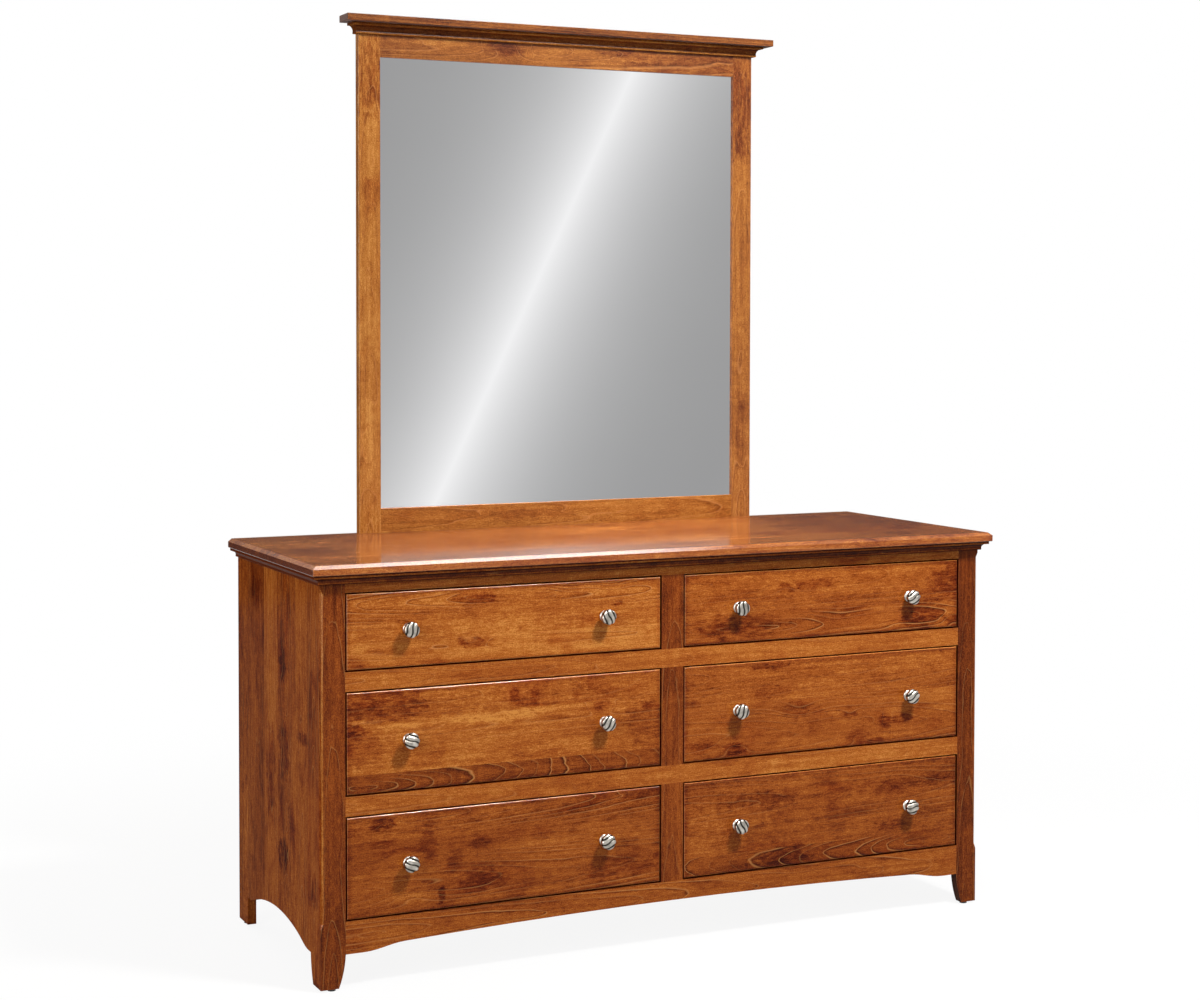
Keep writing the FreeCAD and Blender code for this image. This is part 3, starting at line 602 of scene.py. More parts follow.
# Drawer fronts: where their boards meet, up from the middle, the boards from the lowest up, and their marks
Front = namedtuple("Front", "splits boards marks")
# Board tones run lighter in the top row and darker in the bottom row: partly the wood's own tone, partly
# painted shade of light falling off downwards
FRONTS = {
    "top_left": Front(
        (-0.022,),
        (Board(-0.038, 0.012, -0.05, 0.13, 0.9, 0.4), Board(0.051, 0.005, 0.069, 0.08, 1.0, 0.3)),
        (Mark(-0.077, 0.051, 0.13, 0.024, 0.24), Mark(-0.078, -0.034, 0.08, 0.028, 0.34, 0.014),
         Mark(-0.32, -0.06, 0.06, 0.024, 0.2), Mark(-0.27, -0.038, 0.08, 0.016, 0.14, 0.004),
         Mark(-0.226, 0.012, 0.04, 0.014, 0.2, 0.004), Mark(0.243, 0.025, 0.03, 0.014, 0.24, 0.006),
         Mark(0.2, 0.0, 0.12, 0.02, 0.12), Mark(0.0, -0.005, 0.3, 0.03, -0.08),
         Mark(-0.068, 0.075, 0.09, 0.05, 0.08, 0.016), Mark(0.022, 0.078, 0.08, 0.044, 0.06, 0.016),
         Mark(0.131, 0.076, 0.09, 0.05, 0.06, 0.016), Mark(0.225, 0.075, 0.09, 0.044, 0.08, 0.014))),
    "top_right": Front(
        (-0.013,),
        (Board(-0.045, 0.02, 0.06, -0.05, 1.0, 0.5), Board(0.05, 0.06, 0.03, -0.02, 0.4, 0.4)),
        (Mark(-0.101, 0.034, 0.06, 0.026, 0.2, 0.004), Mark(-0.03, 0.041, 0.13, 0.026, 0.2),
         Mark(0.32, 0.03, 0.12, 0.09, 0.26), Mark(-0.208, -0.041, 0.24, 0.06, 0.25),
         Mark(0.031, -0.038, 0.13, 0.056, 0.08, 0.01), Mark(0.245, -0.04, 0.13, 0.09, 0.24),
         Mark(0.185, -0.06, 0.07, 0.02, -0.14, 0.006), Mark(-0.285, -0.03, 0.04, 0.05, -0.16),
         Mark(0.33, -0.06, 0.05, 0.03, 0.2, 0.008))),
    "middle_left": Front(
        (-0.0625, 0.0446),
        (Board(-0.085, 0.055, 0.155, -0.23, 1.0, 0.3), Board(0.03, 0.03, 0.02, 0.04, 0.7, 0.4),
         Board(0.08, 0.07, 0.02, 0.0, 0.3, 0.6)),
        (Mark(-0.008, 0.03, 0.24, 0.028, -0.2, 0.012), Mark(-0.237, 0.027, 0.13, 0.02, -0.14, 0.008),
         Mark(0.206, 0.034, 0.05, 0.026, 0.2, 0.012), Mark(-0.322, 0.023, 0.06, 0.03, 0.26, 0.006),
         Mark(0.32, 0.03, 0.06, 0.024, 0.16), Mark(0.077, -0.052, 0.15, 0.018, 0.16),
         Mark(0.013, 0.068, 0.026, 0.04, 0.2), Mark(0.056, 0.066, 0.026, 0.044, 0.2),
         Mark(0.15, 0.07, 0.03, 0.05, 0.12), Mark(-0.27, 0.07, 0.22, 0.09, 0.26),
         Mark(-0.31, -0.01, 0.1, 0.09, 0.1), Mark(0.31, -0.005, 0.11, 0.1, 0.16))),
    "middle_right": Front(
        (0.012,),
        (Board(-0.06, 0.06, 0.04, -0.02, 0.5, 0.4), Board(0.07, 0.07, 0.03, -0.04, 0.4, 0.4)),
        (Mark(-0.062, -0.009, 0.1, 0.044, 0.16, 0.02), Mark(0.063, -0.03, 0.05, 0.022, 0.2, 0.01),
         Mark(0.085, -0.077, 0.07, 0.04, 0.14, 0.012), Mark(0.156, -0.052, 0.04, 0.04, 0.3, 0.008),
         Mark(0.2, -0.048, 0.07, 0.02, 0.24), Mark(-0.219, -0.08, 0.06, 0.028, 0.3, 0.012),
         Mark(-0.137, 0.0875, 0.11, 0.018, 0.26), Mark(-0.13, 0.034, 0.14, 0.034, 0.12),
         Mark(-0.3, -0.07, 0.09, 0.04, 0.14), Mark(0.13, -0.092, 0.08, 0.018, 0.2))),
    "bottom_left": Front(
        (0.048,),
        (Board(-0.05, 0.04, 0.05, -0.12, 0.7, 0.5), Board(0.09, 0.03, 0.06, -0.12, 0.7, 0.6)),
        (Mark(-0.266, 0.08, 0.06, 0.034, 0.36, 0.014), Mark(-0.173, 0.037, 0.045, 0.1, 0.16),
         Mark(-0.116, -0.005, 0.045, 0.06, 0.16), Mark(-0.058, -0.052, 0.12, 0.06, 0.2),
         Mark(-0.144, -0.07, 0.016, 0.044, 0.4), Mark(-0.21, -0.07, 0.13, 0.03, -0.1, 0.014),
         Mark(0.156, 0.009, 0.32, 0.09, -0.1), Mark(0.27, -0.005, 0.05, 0.012, 0.2),
         Mark(-0.06, 0.02, 0.05, 0.04, 0.14), Mark(0.25, -0.06, 0.22, 0.06, 0.16))),
    "bottom_right": Front(
        (-0.059,),
        (Board(-0.082, 0.045, -0.124, -0.14, 1.0, 0.4), Board(0.04, 0.06, 0.03, -0.13, 0.4, 0.5)),
        (Mark(-0.151, 0.045, 0.24, 0.044, 0.16), Mark(0.199, 0.048, 0.3, 0.036, 0.16),
         Mark(0.17, -0.0375, 0.13, 0.028, 0.22), Mark(0.27, -0.016, 0.11, 0.026, 0.12),
         Mark(-0.105, -0.08, 0.17, 0.046, 0.26), Mark(-0.29, 0.0, 0.12, 0.12, -0.1))),
}
SIDE_PANEL = Front(
    (-0.1925, -0.1205, -0.0037, 0.0852, 0.1795),
    (Board(-0.23, 0.03, 0.06, -0.09, 0.8, 0.6), Board(-0.16, 0.05, 0.03, -0.05, 0.6, 0.5),
     Board(-0.06, 0.03, 0.05, -0.09, 0.8, 0.6), Board(0.04, 0.05, -0.04, 0.0, 0.6, 0.5),
     Board(0.13, 0.06, 0.02, -0.23, 0.4, 0.5), Board(0.22, 0.05, 0.03, -0.1, 0.5, 0.5)),
    (Mark(0.2, -0.037, 0.09, 0.05, 0.34, 0.014), Mark(0.022, -0.043, 0.13, 0.08, 0.26, 0.02),
     Mark(-0.19, -0.037, 0.08, 0.08, 0.34, 0.016), Mark(0.067, -0.165, 0.035, 0.08, 0.32, 0.008),
     Mark(-0.044, 0.041, 0.26, 0.08, 0.24), Mark(0.322, 0.135, 0.08, 0.08, 0.2),
     Mark(-0.22, -0.2315, 0.07, 0.046, 0.24, 0.01), Mark(-0.156, 0.2185, 0.26, 0.05, -0.12)))
TOP = Front(
    (-0.17, -0.055, 0.06, 0.175),
    (Board(-0.23, 0.04, 0.03, -0.07, 0.8, 0.55), Board(-0.11, 0.03, -0.04, 0.0, 0.8, 0.55),
     Board(0.0, 0.05, 0.05, -0.08, 0.8, 0.55), Board(0.12, 0.03, -0.03, -0.03, 0.8, 0.55),
     Board(0.22, 0.05, 0.04, -0.1, 0.8, 0.55)),
    # The first two marks darken the right end of the top: painted shade
    (Mark(0.62, 0.0, 0.46, 0.7, 0.19), Mark(0.73, 0.08, 0.18, 0.4, 0.1),
     Mark(-0.7, -0.06, 0.16, 0.2, 0.16, 0.01), Mark(-0.56, 0.12, 0.12, 0.08, 0.14, 0.01),
     Mark(0.03, -0.2, 0.18, 0.03, 0.2), Mark(-0.32, -0.1, 0.1, 0.05, 0.14, 0.012),
     Mark(0.24, 0.05, 0.14, 0.06, 0.14, 0.012)))

nickel = metal("satin_nickel", NICKEL, NICKEL_GLOSS, NICKEL_LINES)
zinc = metal("zinc_plate", ZINC, ZINC_GLOSS, ZINC_LINES)
BOX_BOARD = 0.4
BOX_SPREAD = 0.1
# Seeds of the boards' figures
FRONT_SEED = 10
FRONT_SEED_STEP = 9
BOX_SEED = 40
TOP_SEED = 4
SIDE_SEEDS = {"left": 6, "right": 8}
FRAME_SEED = 61
MIRROR_SEED = 71
MIRROR_MOULDING_SEED = 78
INNER_SEED = 81
PANEL_SEED = 91

for number, (which, front) in enumerate(FRONTS.items()):
    drawer = "drawer_" + which
    seed = FRONT_SEED + FRONT_SEED_STEP * number
    glued_up(drawer + "_front", "x", seed, *front, STAINED_FRONT, MARGIN_DARK)
    many_boards(drawer + "_box", "side", BOX_SEED + number, BOX_BOARD, BOX_SPREAD, CLEAR_MAPLE)
    dress(drawer + "_runners", zinc)
    dress("middle_runners_" + which, zinc)

glued_up("top_panel", "flat", TOP_SEED, *TOP, STAINED_TOP)
for side, seed in SIDE_SEEDS.items():
    glued_up("side_panel_" + side, "side", seed, *SIDE_PANEL, STAINED_SIDE, MARGIN_DARK)

# Painted shade and highlight up each moulding, from its foot to its fillet's top, 0.5 being even: dark in
# recesses, light along edges
CASE_PROFILE_SHADE = (
    (0.0, 0.05), (0.06, 0.1), (0.1, 0.62), (0.18, 0.6), (0.24, 0.3), (0.42, 0.36), (0.5, 0.08),
    (0.6, 0.05), (0.66, 0.72), (0.8, 0.7), (0.86, 0.3), (0.9, 0.0), (1.0, 0.0))
MIRROR_PROFILE_SHADE = (
    (0.0, 0.75), (0.1, 0.7), (0.17, 0.3), (0.45, 0.4), (0.7, 0.25), (0.76, 0.75), (0.83, 0.6),
    (0.94, 0.4), (1.0, 0.1))

# Frame of the case: grain, tone, strength of figure and finish of each piece
FRAME_BOARDS = {
    "front_post_left": ("z", -0.28, 0.5, STAINED_POST),
    "front_post_right": ("z", -0.34, 0.5, STAINED_POST),
    "mullions": ("z", -0.2, 0.5, STAINED_FRAME),
    "top_rail": ("x", 0.02, 0.5, STAINED_FRAME),
    "upper_drawer_rail": ("x", 0.05, 0.5, STAINED_FRAME),
    "lower_drawer_rail": ("x", 0.05, 0.5, STAINED_FRAME),
    "bottom_rail": ("x", -0.04, 1.0, STAINED_FRAME),
    "top_moulding": ("x", -0.24, 0.5, STAINED)}
for seed, (node, (grain, tone, strength, finish)) in enumerate(FRAME_BOARDS.items(), FRAME_SEED):
    profile = CASE_PROFILE_SHADE if node == "top_moulding" else ()
    one_board(node, grain, seed, QUIET._replace(tone=tone, figure=strength), finish, profile)

# Mirror: grain, tone, haze and marks of each piece
MIRROR_BOARDS = {
    "mirror_stile_left": ("z", 0.08, 0.0, (
        Mark(0.2, 0.0, 0.06, 0.04, 0.12, 0.006), Mark(-0.36, 0.0, 0.2, 0.04, -0.1, 0.014),
        Mark(0.44, 0.0, 0.2, 0.1, 0.22))),
    "mirror_stile_right": ("z", -0.04, 0.2, (
        Mark(-0.36, 0.0, 0.2, 0.03, 0.14, 0.014), Mark(0.42, 0.0, 0.34, 0.14, 0.24))),
    "mirror_bottom_rail": ("x", -0.02, 0.0, (Mark(-0.1, 0.0, 0.3, 0.03, 0.1, 0.006),)),
    "mirror_top_rail": ("x", -0.12, 0.25, (
        Mark(-0.14, 0.0, 0.11, 0.05, 0.18, 0.014), Mark(-0.3, 0.005, 0.2, 0.03, -0.1, 0.006),
        Mark(0.3, 0.0, 0.44, 0.12, 0.2))),
    "mirror_cap": ("flat", -0.36, 0.2, ()),
    "mirror_supports": ("z", -0.05, 0.0, ())}
for seed, (node, (grain, tone, haze, marks)) in enumerate(MIRROR_BOARDS.items(), MIRROR_SEED):
    board = QUIET._replace(tone=tone)
    glued_up(node, grain, seed, (), (board,), marks, STAINED_MIRROR._replace(haze=haze))
MIRROR_MOULDING = STAINED_MIRROR._replace(coat=0.08)
one_board("mirror_moulding", "x", MIRROR_MOULDING_SEED, QUIET._replace(tone=-0.2), MIRROR_MOULDING,
          MIRROR_PROFILE_SHADE)

INNER_BOARDS = {"centre_partition": "side", "rear_rails": "x", "slide_packers": "x", "top_cleats": "x"}
PANELS = {"back_panel": "z", "bottom_panel": "flat", "mirror_backboard": "z"}
for seed, (node, grain) in enumerate(INNER_BOARDS.items(), INNER_SEED):
    one_board(node, grain, seed, QUIET, PLAIN_MAPLE)
for seed, (node, grain) in enumerate(PANELS.items(), PANEL_SEED):
    one_board(node, grain, seed, QUIET._replace(figure=1.0), BACKING)
dress("case_slides", zinc)
dress("top_screws", zinc)
dress("floor_glides", glide_plastic())
dress("mirror_glass", mirror_silver())

# Knobs: a turned profile as shares of the head's radius and of the reach, with ribs across the face
KNOB_RADII = (
    (0.0, 0.76), (0.08, 0.74), (0.22, 0.42), (0.32, 0.48), (0.42, 0.8), (0.48, 0.96), (0.54, 1.0),
    (0.64, 1.0), (0.72, 0.94), (0.84, 0.64), (1.0, 0.0))
KNOB_REACHES = (
    (0.0, 0.0), (0.08, 0.06), (0.22, 0.26), (0.32, 0.36), (0.42, 0.45), (0.48, 0.51), (0.54, 0.58),
    (0.64, 0.78), (0.72, 0.87), (0.84, 0.955), (1.0, 1.0))
KNOB_SIZES = {
    "Head Radius": 0.015875, "Reach": 0.025, "Rib Pitch": 0.0105, "Rib Depth": 0.0022, "Notch": 0.0012,
    "Twist": 26.0}
KNOB_AROUND = 72
KNOB_ALONG = 44
KNOB_WELD = 0.00002
RIB_POWER = 0.75
KNOB_TURNS = (0.02, 0.12, 0.06, 0.39, 0.25, 0.46, 0.0, 0.4, 0.24, 0.37, 0.13, 0.33)


def knob_tree():
    """Geometry tree: a grid wrapped round the knob's axis, its face ribbed and its rim notched."""
    g, into = new_group("ribbed_knob", "GeometryNodeTree", floats(*KNOB_SIZES), {"Geometry": "Geometry"})
    grid = g.add("GeometryNodeMeshGrid", {"Vertices X": KNOB_AROUND + 1, "Vertices Y": KNOB_ALONG + 1})
    where = g.split(g.add("GeometryNodeInputPosition"))
    angle = g.times(where["X"], math.tau)
    share = g.plus(where["Y"], 0.5)
    radius = g.times(g.curve(share, KNOB_RADII), into["Head Radius"])
    reach = g.times(g.curve(share, KNOB_REACHES), into["Reach"])
    turned = g.times_plus(radius, into["Twist"], angle)
    across = g.over(g.times(radius, g.math("COSINE", turned)), into["Rib Pitch"])
    rib = g.math("POWER", g.unsigned(g.math("SINE", g.times(across, math.pi))), RIB_POWER)
    groove = g.minus(1.0, rib)
    face = g.times(groove, g.smooth(share, 0.52, 0.68))
    at_rim = g.times(g.smooth(share, 0.36, 0.54), g.smooth(share, 0.66, 0.9, 1.0, 0.0))
    rim = g.times(groove, at_rim)
    radius = g.minus(radius, g.times(rim, into["Notch"]))
    reach = g.minus(reach, g.times(face, into["Rib Depth"]))
    x = g.times(radius, g.math("COSINE", angle))
    y = g.times(radius, g.math("SINE", angle))
    kept = g.add("GeometryNodeStoreNamedAttribute", {
        "Geometry": grid.outputs["Mesh"], "Name": "groove", "Value": g.larger(face, rim)})
    shaped = g.add("GeometryNodeSetPosition", {
        "Geometry": kept, "Position": g.vector(x, y, reach)})
    closed = g.add("GeometryNodeMergeByDistance", {"Geometry": shaped, "Distance": KNOB_WELD})
    smooth = g.add("GeometryNodeSetShadeSmooth", {"Geometry": closed})
    return g.results(Geometry=smooth)


def set_out_tree():
    """Geometry tree: one shape at each point, its axis along the point's facing, turned by its turn."""
    g, into = new_group("set_out", "GeometryNodeTree", {
        "Geometry": "Geometry", "Shape": "Object", "Finish": "Material"}, {"Geometry": "Geometry"})

    def stored(name, kind):
        return g.add("GeometryNodeInputNamedAttribute", {"Name": name}, data_type=kind).outputs["Attribute"]

    shape = g.add("GeometryNodeObjectInfo", {"Object": into["Shape"]}).outputs["Geometry"]
    facing = stored("facing", "FLOAT_VECTOR")
    aligned = g.add("FunctionNodeAlignRotationToVector", {"Vector": facing}, axis="Z")
    spin = g.add("FunctionNodeAxisAngleToRotation", {"Axis": (0, 0, 1), "Angle": stored("turn", "FLOAT")})
    rotation = g.add("FunctionNodeRotateRotation", {
        "Rotation": aligned, "Rotate By": spin}, rotation_space="LOCAL")
    copies = g.add("GeometryNodeInstanceOnPoints", {
        "Points": into["Geometry"], "Instance": shape, "Rotation": rotation})
    real = g.add("GeometryNodeRealizeInstances", {"Geometry": copies})
    done = g.add("GeometryNodeSetMaterial", {"Geometry": real, "Material": into["Finish"]})
    return g.results(Geometry=done)


def in_scene(name, data):
    """A new object in the scene."""
    made = bpy.data.objects.new(name, data)
    bpy.context.scene.collection.objects.link(made)
    return made


def mesh_of(name, corners, faces):
    mesh = bpy.data.meshes.new(name)
    mesh.from_pydata(corners, [], faces)
    return mesh


def grown(name, mesh, tree, settings):
    """The plain mesh that a geometry tree makes from a mesh."""
    seed = in_scene(name, mesh)
    modifier = seed.modifiers.new(name, "NODES")
    modifier.node_group = tree
    for socket in tree.interface.items_tree:
        if socket.in_out == "INPUT" and socket.name in settings:
            modifier[socket.identifier] = settings[socket.name]
    graph = bpy.context.evaluated_depsgraph_get()
    made = bpy.data.meshes.new_from_object(seed.evaluated_get(graph))
    bpy.data.objects.remove(seed)
    made.name = name
    return made


Place = namedtuple("Place", "point facing turn")
FRONT = (0, -1, 0)
REAR = (0, 1, 0)


def set_out(name, places, shape, finish):
    """One mesh with a shape at each place."""
    mesh = mesh_of("places", [place.point for place in places], [])
    facings = mesh.attributes.new("facing", "FLOAT_VECTOR", "POINT")
    facings.data.foreach_set("vector", [value for place in places for value in place.facing])
    turns = mesh.attributes.new("turn", "FLOAT", "POINT")
    turns.data.foreach_set("value", [place.turn for place in places])
    return grown(name, mesh, SET_OUT, {"Shape": shape, "Finish": finish})


def piece(name, mesh, body, replaced=()):
    """A finished piece that rides on a body."""
    made = in_scene(name, mesh)
    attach(made, body)
    if replaced:
        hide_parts(*replaced)


def merged(name, meshes):
    """Several meshes as one, each keeping its own materials."""
    parts = [in_scene(name, mesh) for mesh in meshes]
    with bpy.context.temp_override(active_object=parts[0], selected_editable_objects=parts):
        bpy.ops.object.join()
    mesh = parts[0].data
    bpy.data.objects.remove(parts[0])
    return mesh


# Screws, nails and clips. A head's rings: share of its radius, share of its height, depth of the cross
BOX_WALL = 0.013
SUPPORT_WIDTH = 0.038
SUPPORT_SCREW_LEVELS = (0.76, 0.79, 0.9145, 1.4345)
Head = namedtuple("Head", "radius rise shank_radius")
SCREW = Head(0.004, 0.0025, 0.002)
NAIL = Head(0.0035, 0.0012, 0.001)
KNOB_SCREW_LENGTH = 0.042
LONG_SCREW_LENGTH = 0.024
NAIL_LENGTH = 0.004
NAIL_INSET = 0.006
NAILS_ACROSS = 11
NAILS_UP = 5
CLIPS_ACROSS = 4
CLIP_LEVELS = (1.56, 1.76)
CLIP_OFF = 0.009
CLIP_THICK = 0.0012
CLIP_WIDTH = 0.012
CLIP_PROFILE = (
    (-0.007, 0.0), (0.006, 0.0), (0.009, -0.003), (0.019, -0.003), (0.019, -0.0018), (0.0097, -0.0018),
    (0.0067, 0.0012), (-0.007, 0.0012))
HEAD_SEGMENTS = 16
HEAD_RINGS = (
    (1.0, 0.0, 0.0), (1.0, 0.35, 0.0), (0.86, 0.75, 0.0), (0.62, 0.95, 0.0), (0.5, 0.98, 0.7),
    (0.16, 1.0, 0.8))
TIP_SHARE = 0.05
CROSS_MIDDLE = 0.2


def turned_head(name, head, length):
    """A round head that stands on its underside at the origin, with its shank below."""
    slim = head.shank_radius / head.radius
    rings = [(TIP_SHARE, -length, 0.0), (slim, -length + head.shank_radius, 0.0), (slim, 0.0, 0.0)]
    rings += [(share, rise * head.rise, cross) for share, rise, cross in HEAD_RINGS]
    corners = []
    for share, level, cross in rings:
        for step in range(HEAD_SEGMENTS):
            angle = math.tau * step / HEAD_SEGMENTS
            on_cross = step % (HEAD_SEGMENTS // 4) == 0 or share < CROSS_MIDDLE
            sunk = cross * head.rise if on_cross else 0.0
            radius = share * head.radius
            corners.append((radius * math.cos(angle), radius * math.sin(angle), level - sunk))
    faces = [list(reversed(range(HEAD_SEGMENTS)))]
    for ring in range(len(rings) - 1):
        for step in range(HEAD_SEGMENTS):
            after = (step + 1) % HEAD_SEGMENTS
            low = ring * HEAD_SEGMENTS
            high = low + HEAD_SEGMENTS
            faces.append((low + step, low + after, high + after, high + step))
    faces.append(range(len(corners) - HEAD_SEGMENTS, len(corners)))
    return in_scene(name, mesh_of(name, corners, faces))


def bent_strip(name, profile, width):
    """A strip bent to a profile, as wide as given."""
    count = len(profile)
    corners = [(along, side * width / 2, rise) for side in (-1, 1) for along, rise in profile]
    faces = [list(range(count)), list(reversed(range(count, 2 * count)))]
    for index in range(count):
        after = (index + 1) % count
        faces.append((after, index, index + count, after + count))
    return in_scene(name, mesh_of(name, corners, faces))


SET_OUT = set_out_tree()
knob_mesh = grown("knob_pattern", bpy.data.meshes.new("nothing"), knob_tree(), KNOB_SIZES)
knob_pattern = in_scene("knob_pattern", knob_mesh)
knob_screw_pattern = turned_head("knob_screw_pattern", SCREW, KNOB_SCREW_LENGTH)
long_screw_pattern = turned_head("long_screw_pattern", SCREW, LONG_SCREW_LENGTH)
clip_pattern = bent_strip("clip_pattern", CLIP_PROFILE, CLIP_WIDTH)
nail_pattern = turned_head("nail_pattern", NAIL, NAIL_LENGTH)


def ribbed_knobs():
    """Each drawer's two knobs with their screws, each knob turned its own way."""
    for number, which in enumerate(FRONTS):
        drawer = "drawer_" + which
        low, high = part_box(drawer + "_knobs")
        face = low.y + KNOB_SIZES["Reach"]
        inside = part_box(drawer + "_front")[1].y + BOX_WALL
        level = (low.z + high.z) / 2
        columns = (low.x + KNOB_SIZES["Head Radius"], high.x - KNOB_SIZES["Head Radius"])
        turns = [turn * math.tau for turn in KNOB_TURNS[2 * number:2 * number + 2]]
        knobs = [Place((x, face, level), FRONT, turn) for x, turn in zip(columns, turns)]
        screws = [Place((x, inside, level), REAR, turn) for x, turn in zip(columns, turns)]
        both = merged(drawer + "_ribbed_knobs", [
            set_out("knobs", knobs, knob_pattern, nickel),
            set_out("knob_screws", screws, knob_screw_pattern, zinc)])
        piece(drawer + "_ribbed_knobs", both, drawer, (drawer + "_knobs",))


def rear_fasteners():
    """Screws in the standards and nails round the back panel, their slots at odd angles."""
    low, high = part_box("mirror_supports")
    columns = (low.x + SUPPORT_WIDTH / 2, high.x - SUPPORT_WIDTH / 2)
    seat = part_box("mirror_screws")[1].y - SCREW.rise
    screws = [Place((x, seat, z), REAR, 7 * x + 5 * z) for x in columns for z in SUPPORT_SCREW_LEVELS]
    mesh = set_out("standard_screws", screws, long_screw_pattern, zinc)
    piece("standard_screws", mesh, "case", ("mirror_screws",))
    low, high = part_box("back_panel")
    left = low.x + NAIL_INSET
    right = high.x - NAIL_INSET
    foot = low.z + NAIL_INSET
    head = high.z - NAIL_INSET
    across = [left + (right - left) * step / NAILS_ACROSS for step in range(NAILS_ACROSS + 1)]
    upward = [foot + (head - foot) * step / NAILS_UP for step in range(1, NAILS_UP)]
    spots = [(x, z) for x in across for z in (foot, head)]
    spots += [(x, z) for z in upward for x in (left, right)]
    nails = [Place((x, high.y, z), REAR, 9 * x + 4 * z) for x, z in spots]
    piece("back_nails", set_out("back_nails", nails, nail_pattern, zinc), "case")


def mirror_clips():
    """Stepped clips, each with its screw, that hold the backboard in its rebate."""
    low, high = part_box("mirror_backboard")
    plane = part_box("mirror_stile_left")[1].y
    spots = []
    for step in range(CLIPS_ACROSS):
        x = low.x + (high.x - low.x) * (step + 0.5) / CLIPS_ACROSS
        spots.append(((x, plane, high.z + CLIP_OFF), math.pi / 2))
        spots.append(((x, plane, low.z - CLIP_OFF), -math.pi / 2))
    for level in CLIP_LEVELS:
        spots.append(((high.x + CLIP_OFF, plane, level), math.pi))
        spots.append(((low.x - CLIP_OFF, plane, level), 0.0))
    clips = [Place(point, REAR, turn) for point, turn in spots]
    screws = [Place((x, y + CLIP_THICK, z), REAR, turn + 9 * x + 4 * z) for (x, y, z), turn in spots]
    mesh = merged("backboard_clips", [
        set_out("clips", clips, clip_pattern, zinc), set_out("clip_screws", screws, nail_pattern, zinc)])
    piece("backboard_clips", mesh, "case")


ribbed_knobs()
rear_fasteners()
mirror_clips()
for spare in (knob_pattern, knob_screw_pattern, long_screw_pattern, nail_pattern, clip_pattern):
    bpy.data.objects.remove(spare)

# Stage: floor, lights and the grey walls that show only in reflections
FLOOR_SIZE = 30.0
FLOOR_COLOUR = srgb(244, 243, 241)
FLOOR_BOUNCE = srgb(140, 138, 134)
FLOOR_GLOW = 0.9
FLOOR_NEAR = 1.0
FLOOR_FAR = 2.6
WALL_FRONT = -6.0
WALL_REAR = 5.0
WALL_HALF = 12.0
WALL_HEIGHT = 6.0
WALL_GREY = 0.36
WALL_GLOW = 2.0
WALL_GLOW_LOW = 2.85
WALL_GLOW_HIGH = 3.9
REAR_GREY = 0.06
REAR_GLOW = 0.55
REAR_GLOW_LOW = 2.0
REAR_GLOW_HIGH = 2.7
CEILING_HEIGHT = 3.0
CEILING_LEFT = -0.5
CEILING_RISEN = 0.35
CEILING_FALLING = 0.95
CEILING_RIGHT = 1.5
CEILING_FRONT = -0.6
CEILING_REAR = 0.4
CEILING_GLOW = 18.0
STREAK_GLOW = 0.66
STREAK_FOOT = 2.09
STREAK_LEAN = 0.5035
STREAK_FADE = 0.44
STREAK_STEP = 3.4
WORLD_GREY = 0.28


def looked_at(g):
    """Whether a ray comes from the camera, from a reflection or through something clear."""
    path = g.add("ShaderNodeLightPath").outputs
    return g.larger(g.larger(path["Is Camera Ray"], path["Is Glossy Ray"]), path["Is Transmission Ray"])


def sheet(name, corners, material):
    mesh = mesh_of(name, corners, [range(len(corners))])
    mesh.materials.append(material)
    made = in_scene(name, mesh)
    return made


def floor_material():
    """Pale floor that glows towards white and keeps a soft shadow."""
    material, g = new_material("pale_floor")
    seen = looked_at(g)
    away = g.add("ShaderNodeVectorMath", operation="LENGTH")
    g.put(away.inputs[0], g.where())
    whiteness = g.smooth(away.outputs["Value"], FLOOR_NEAR, FLOOR_FAR, FLOOR_GLOW, 1.0)
    matt = g.add("ShaderNodeBsdfDiffuse", {"Color": g.mix(seen, FLOOR_BOUNCE, FLOOR_COLOUR)})
    glow = g.add("ShaderNodeEmission", {"Color": WHITE, "Strength": 1.0})
    mixed = g.add("ShaderNodeMixShader", {"Fac": g.times(seen, whiteness)})
    g.put(mixed.inputs[1], matt)
    g.put(mixed.inputs[2], glow)
    g.surface(mixed)
    return material


def rear_wall_glow(g, where):
    """Dark wall that is bright high up."""
    return g.smooth(where["Z"], REAR_GLOW_LOW, REAR_GLOW_HIGH, REAR_GREY, REAR_GLOW)


def front_wall_glow(g, where):
    """Grey wall with leaning bands of light, even steps apart, and a bright strip above."""
    leaned = g.times_plus(where["Z"], -STREAK_LEAN, where["X"])
    step = g.math("FRACT", g.plus(g.over(g.minus(leaned, STREAK_FOOT), STREAK_STEP), 0.5))
    away = g.times(g.unsigned(g.minus(step, 0.5)), STREAK_STEP)
    fade = g.math("POWER", math.e, g.over(away, -STREAK_FADE))
    upper = g.smooth(where["Z"], WALL_GLOW_LOW, WALL_GLOW_HIGH, 0.0, WALL_GLOW)
    return g.larger(g.times_plus(fade, STREAK_GLOW, WALL_GREY), upper)


def ceiling_glow(g, where):
    """Softbox overhead, brightest in its middle."""
    rise = g.smooth(where["X"], CEILING_LEFT, CEILING_RISEN, 0.0, CEILING_GLOW)
    return g.times(rise, g.smooth(where["X"], CEILING_FALLING, CEILING_RIGHT, 1.0, 0.0))


def gleam_sheet(name, corners, glow):
    """A glowing sheet that shows only in reflections."""
    material, g = new_material(name)
    g.surface(g.add("ShaderNodeEmission", {"Color": WHITE, "Strength": glow(g, g.split(g.where()))}))
    made = sheet(name, corners, material)
    made.visible_camera = False
    made.visible_diffuse = False
    made.visible_shadow = False
    made.visible_transmission = False


def wall(name, y, glow):
    foot = [(-WALL_HALF, y, 0), (WALL_HALF, y, 0)]
    gleam_sheet(name, foot + [(WALL_HALF, y, WALL_HEIGHT), (-WALL_HALF, y, WALL_HEIGHT)], glow)


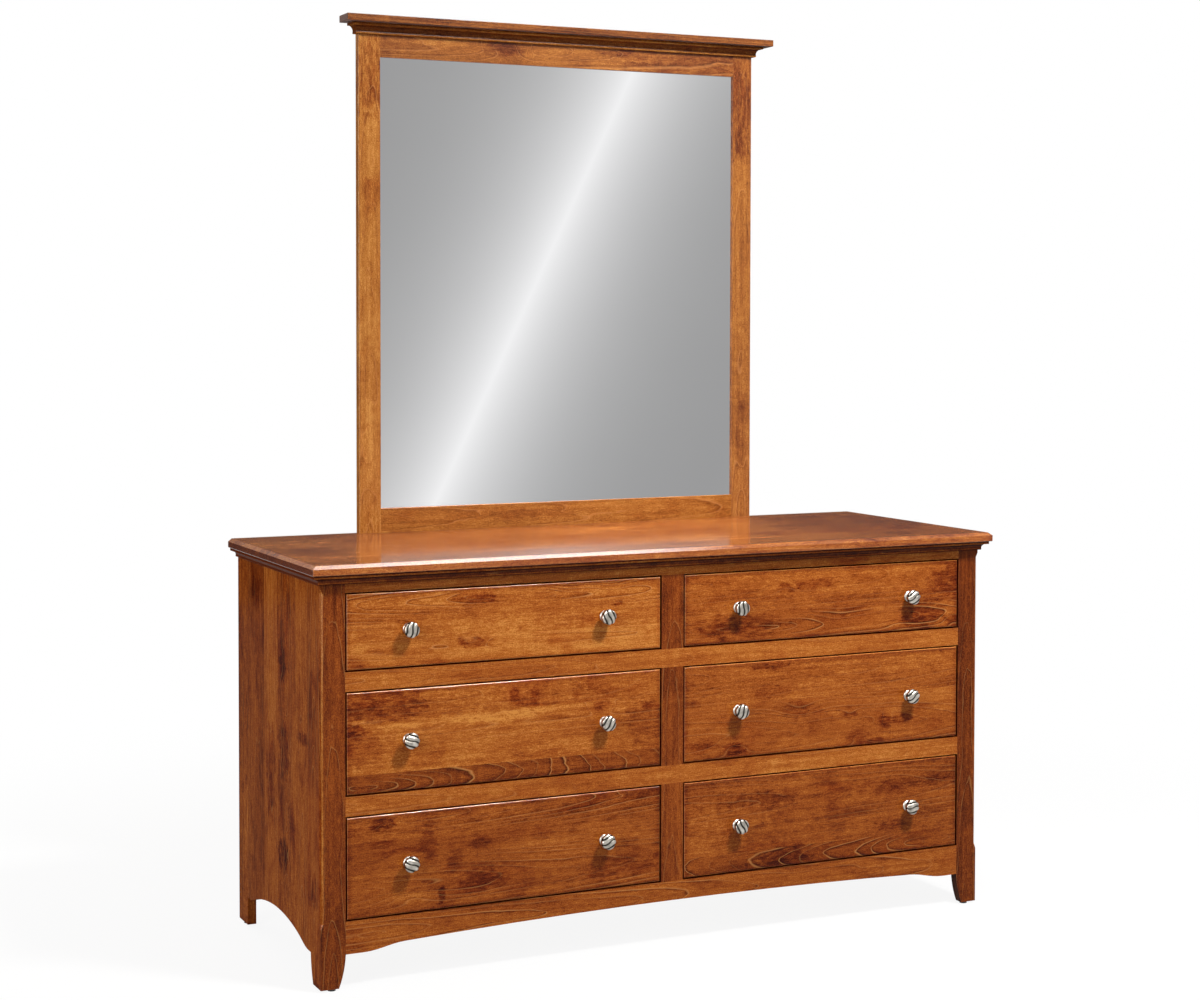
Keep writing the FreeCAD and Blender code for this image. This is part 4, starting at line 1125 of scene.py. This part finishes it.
half = FLOOR_SIZE / 2
sheet("floor", [(-half, -half, 0), (half, -half, 0), (half, half, 0), (-half, half, 0)], floor_material())
wall("front_wall", WALL_FRONT, front_wall_glow)
wall("rear_wall", WALL_REAR, rear_wall_glow)
gleam_sheet("ceiling", [(x, y, CEILING_HEIGHT) for x, y in (
    (CEILING_LEFT, CEILING_FRONT), (CEILING_RIGHT, CEILING_FRONT), (CEILING_RIGHT, CEILING_REAR),
    (CEILING_LEFT, CEILING_REAR))], ceiling_glow)


def studio_light(name, place, target, width, height, power):
    lamp = bpy.data.lights.new(name, "AREA")
    lamp.shape = "RECTANGLE"
    lamp.size = width
    lamp.size_y = height
    lamp.energy = power
    made = in_scene(name, lamp)
    made.location = place
    made.rotation_euler = (Vector(target) - Vector(place)).to_track_quat("-Z", "Y").to_euler()
    return made


# The front box and the left panel show only as a gleam on lacquer and metal, the rear fill never does
studio_light("key", (0.85, -1.8, 3.4), (0.85, -0.25, 0.4), 0.6, 0.4, 140.0)
studio_light("fill", (-4.2, -2.4, 2.2), (-0.4, 0.0, 0.6), 2.4, 2.4, 90.0)
back_fill = studio_light("back_fill", (-1.5, 4.6, 1.7), (0.0, 0.0, 0.9), 2.6, 2.2, 130.0)
back_fill.visible_glossy = False
front_box = studio_light("front_box", (0.9, -2.1, 3.1), (-0.2, -0.26, 0.5), 1.4, 0.8, 120.0)
front_box.visible_diffuse = False
left_panel = studio_light("left_panel", (-4.0, -1.6, 1.25), (0.0, 0.0, 1.25), 1.4, 2.5, 55.0)
left_panel.visible_diffuse = False

# White where the camera or a reflection looks past everything, an even grey as light
world = bpy.data.worlds.new("studio")
bpy.context.scene.world = world
world.use_nodes = True
world.node_tree.nodes.clear()
sky = Nodes(world.node_tree)
strength = sky.smooth(looked_at(sky), 0.0, 1.0, WORLD_GREY, 1.0)
back = sky.add("ShaderNodeBackground", {"Color": WHITE, "Strength": strength})
sky.put(sky.add("ShaderNodeOutputWorld").inputs["Surface"], back)

# Camera, in the photograph's frame of 1200 by 1000 pixels
FRAME_WIDTH = 1200
FRAME_HEIGHT = 1000
AXIS_COLUMN = 500
AXIS_ROW = 392
FOCAL_PIXELS = 2052.119
CAMERA_PLACE = (-2.0331, -3.9633, 1.2845)
CAMERA_PITCH = 1.916
CAMERA_YAW = -23.962

view = bpy.data.cameras.new("photo_camera")
view.sensor_width = 36.0
view.sensor_fit = "HORIZONTAL"
view.lens = FOCAL_PIXELS / FRAME_WIDTH * view.sensor_width
view.shift_x = (FRAME_WIDTH / 2 - AXIS_COLUMN) / FRAME_WIDTH
view.shift_y = (AXIS_ROW - FRAME_HEIGHT / 2) / FRAME_WIDTH
camera = in_scene("photo_camera", view)
camera.location = CAMERA_PLACE
camera.rotation_euler = (math.radians(90 - CAMERA_PITCH), 0, math.radians(CAMERA_YAW))
bpy.context.scene.camera = camera
bpy.context.scene.view_settings.view_transform = "Standard"
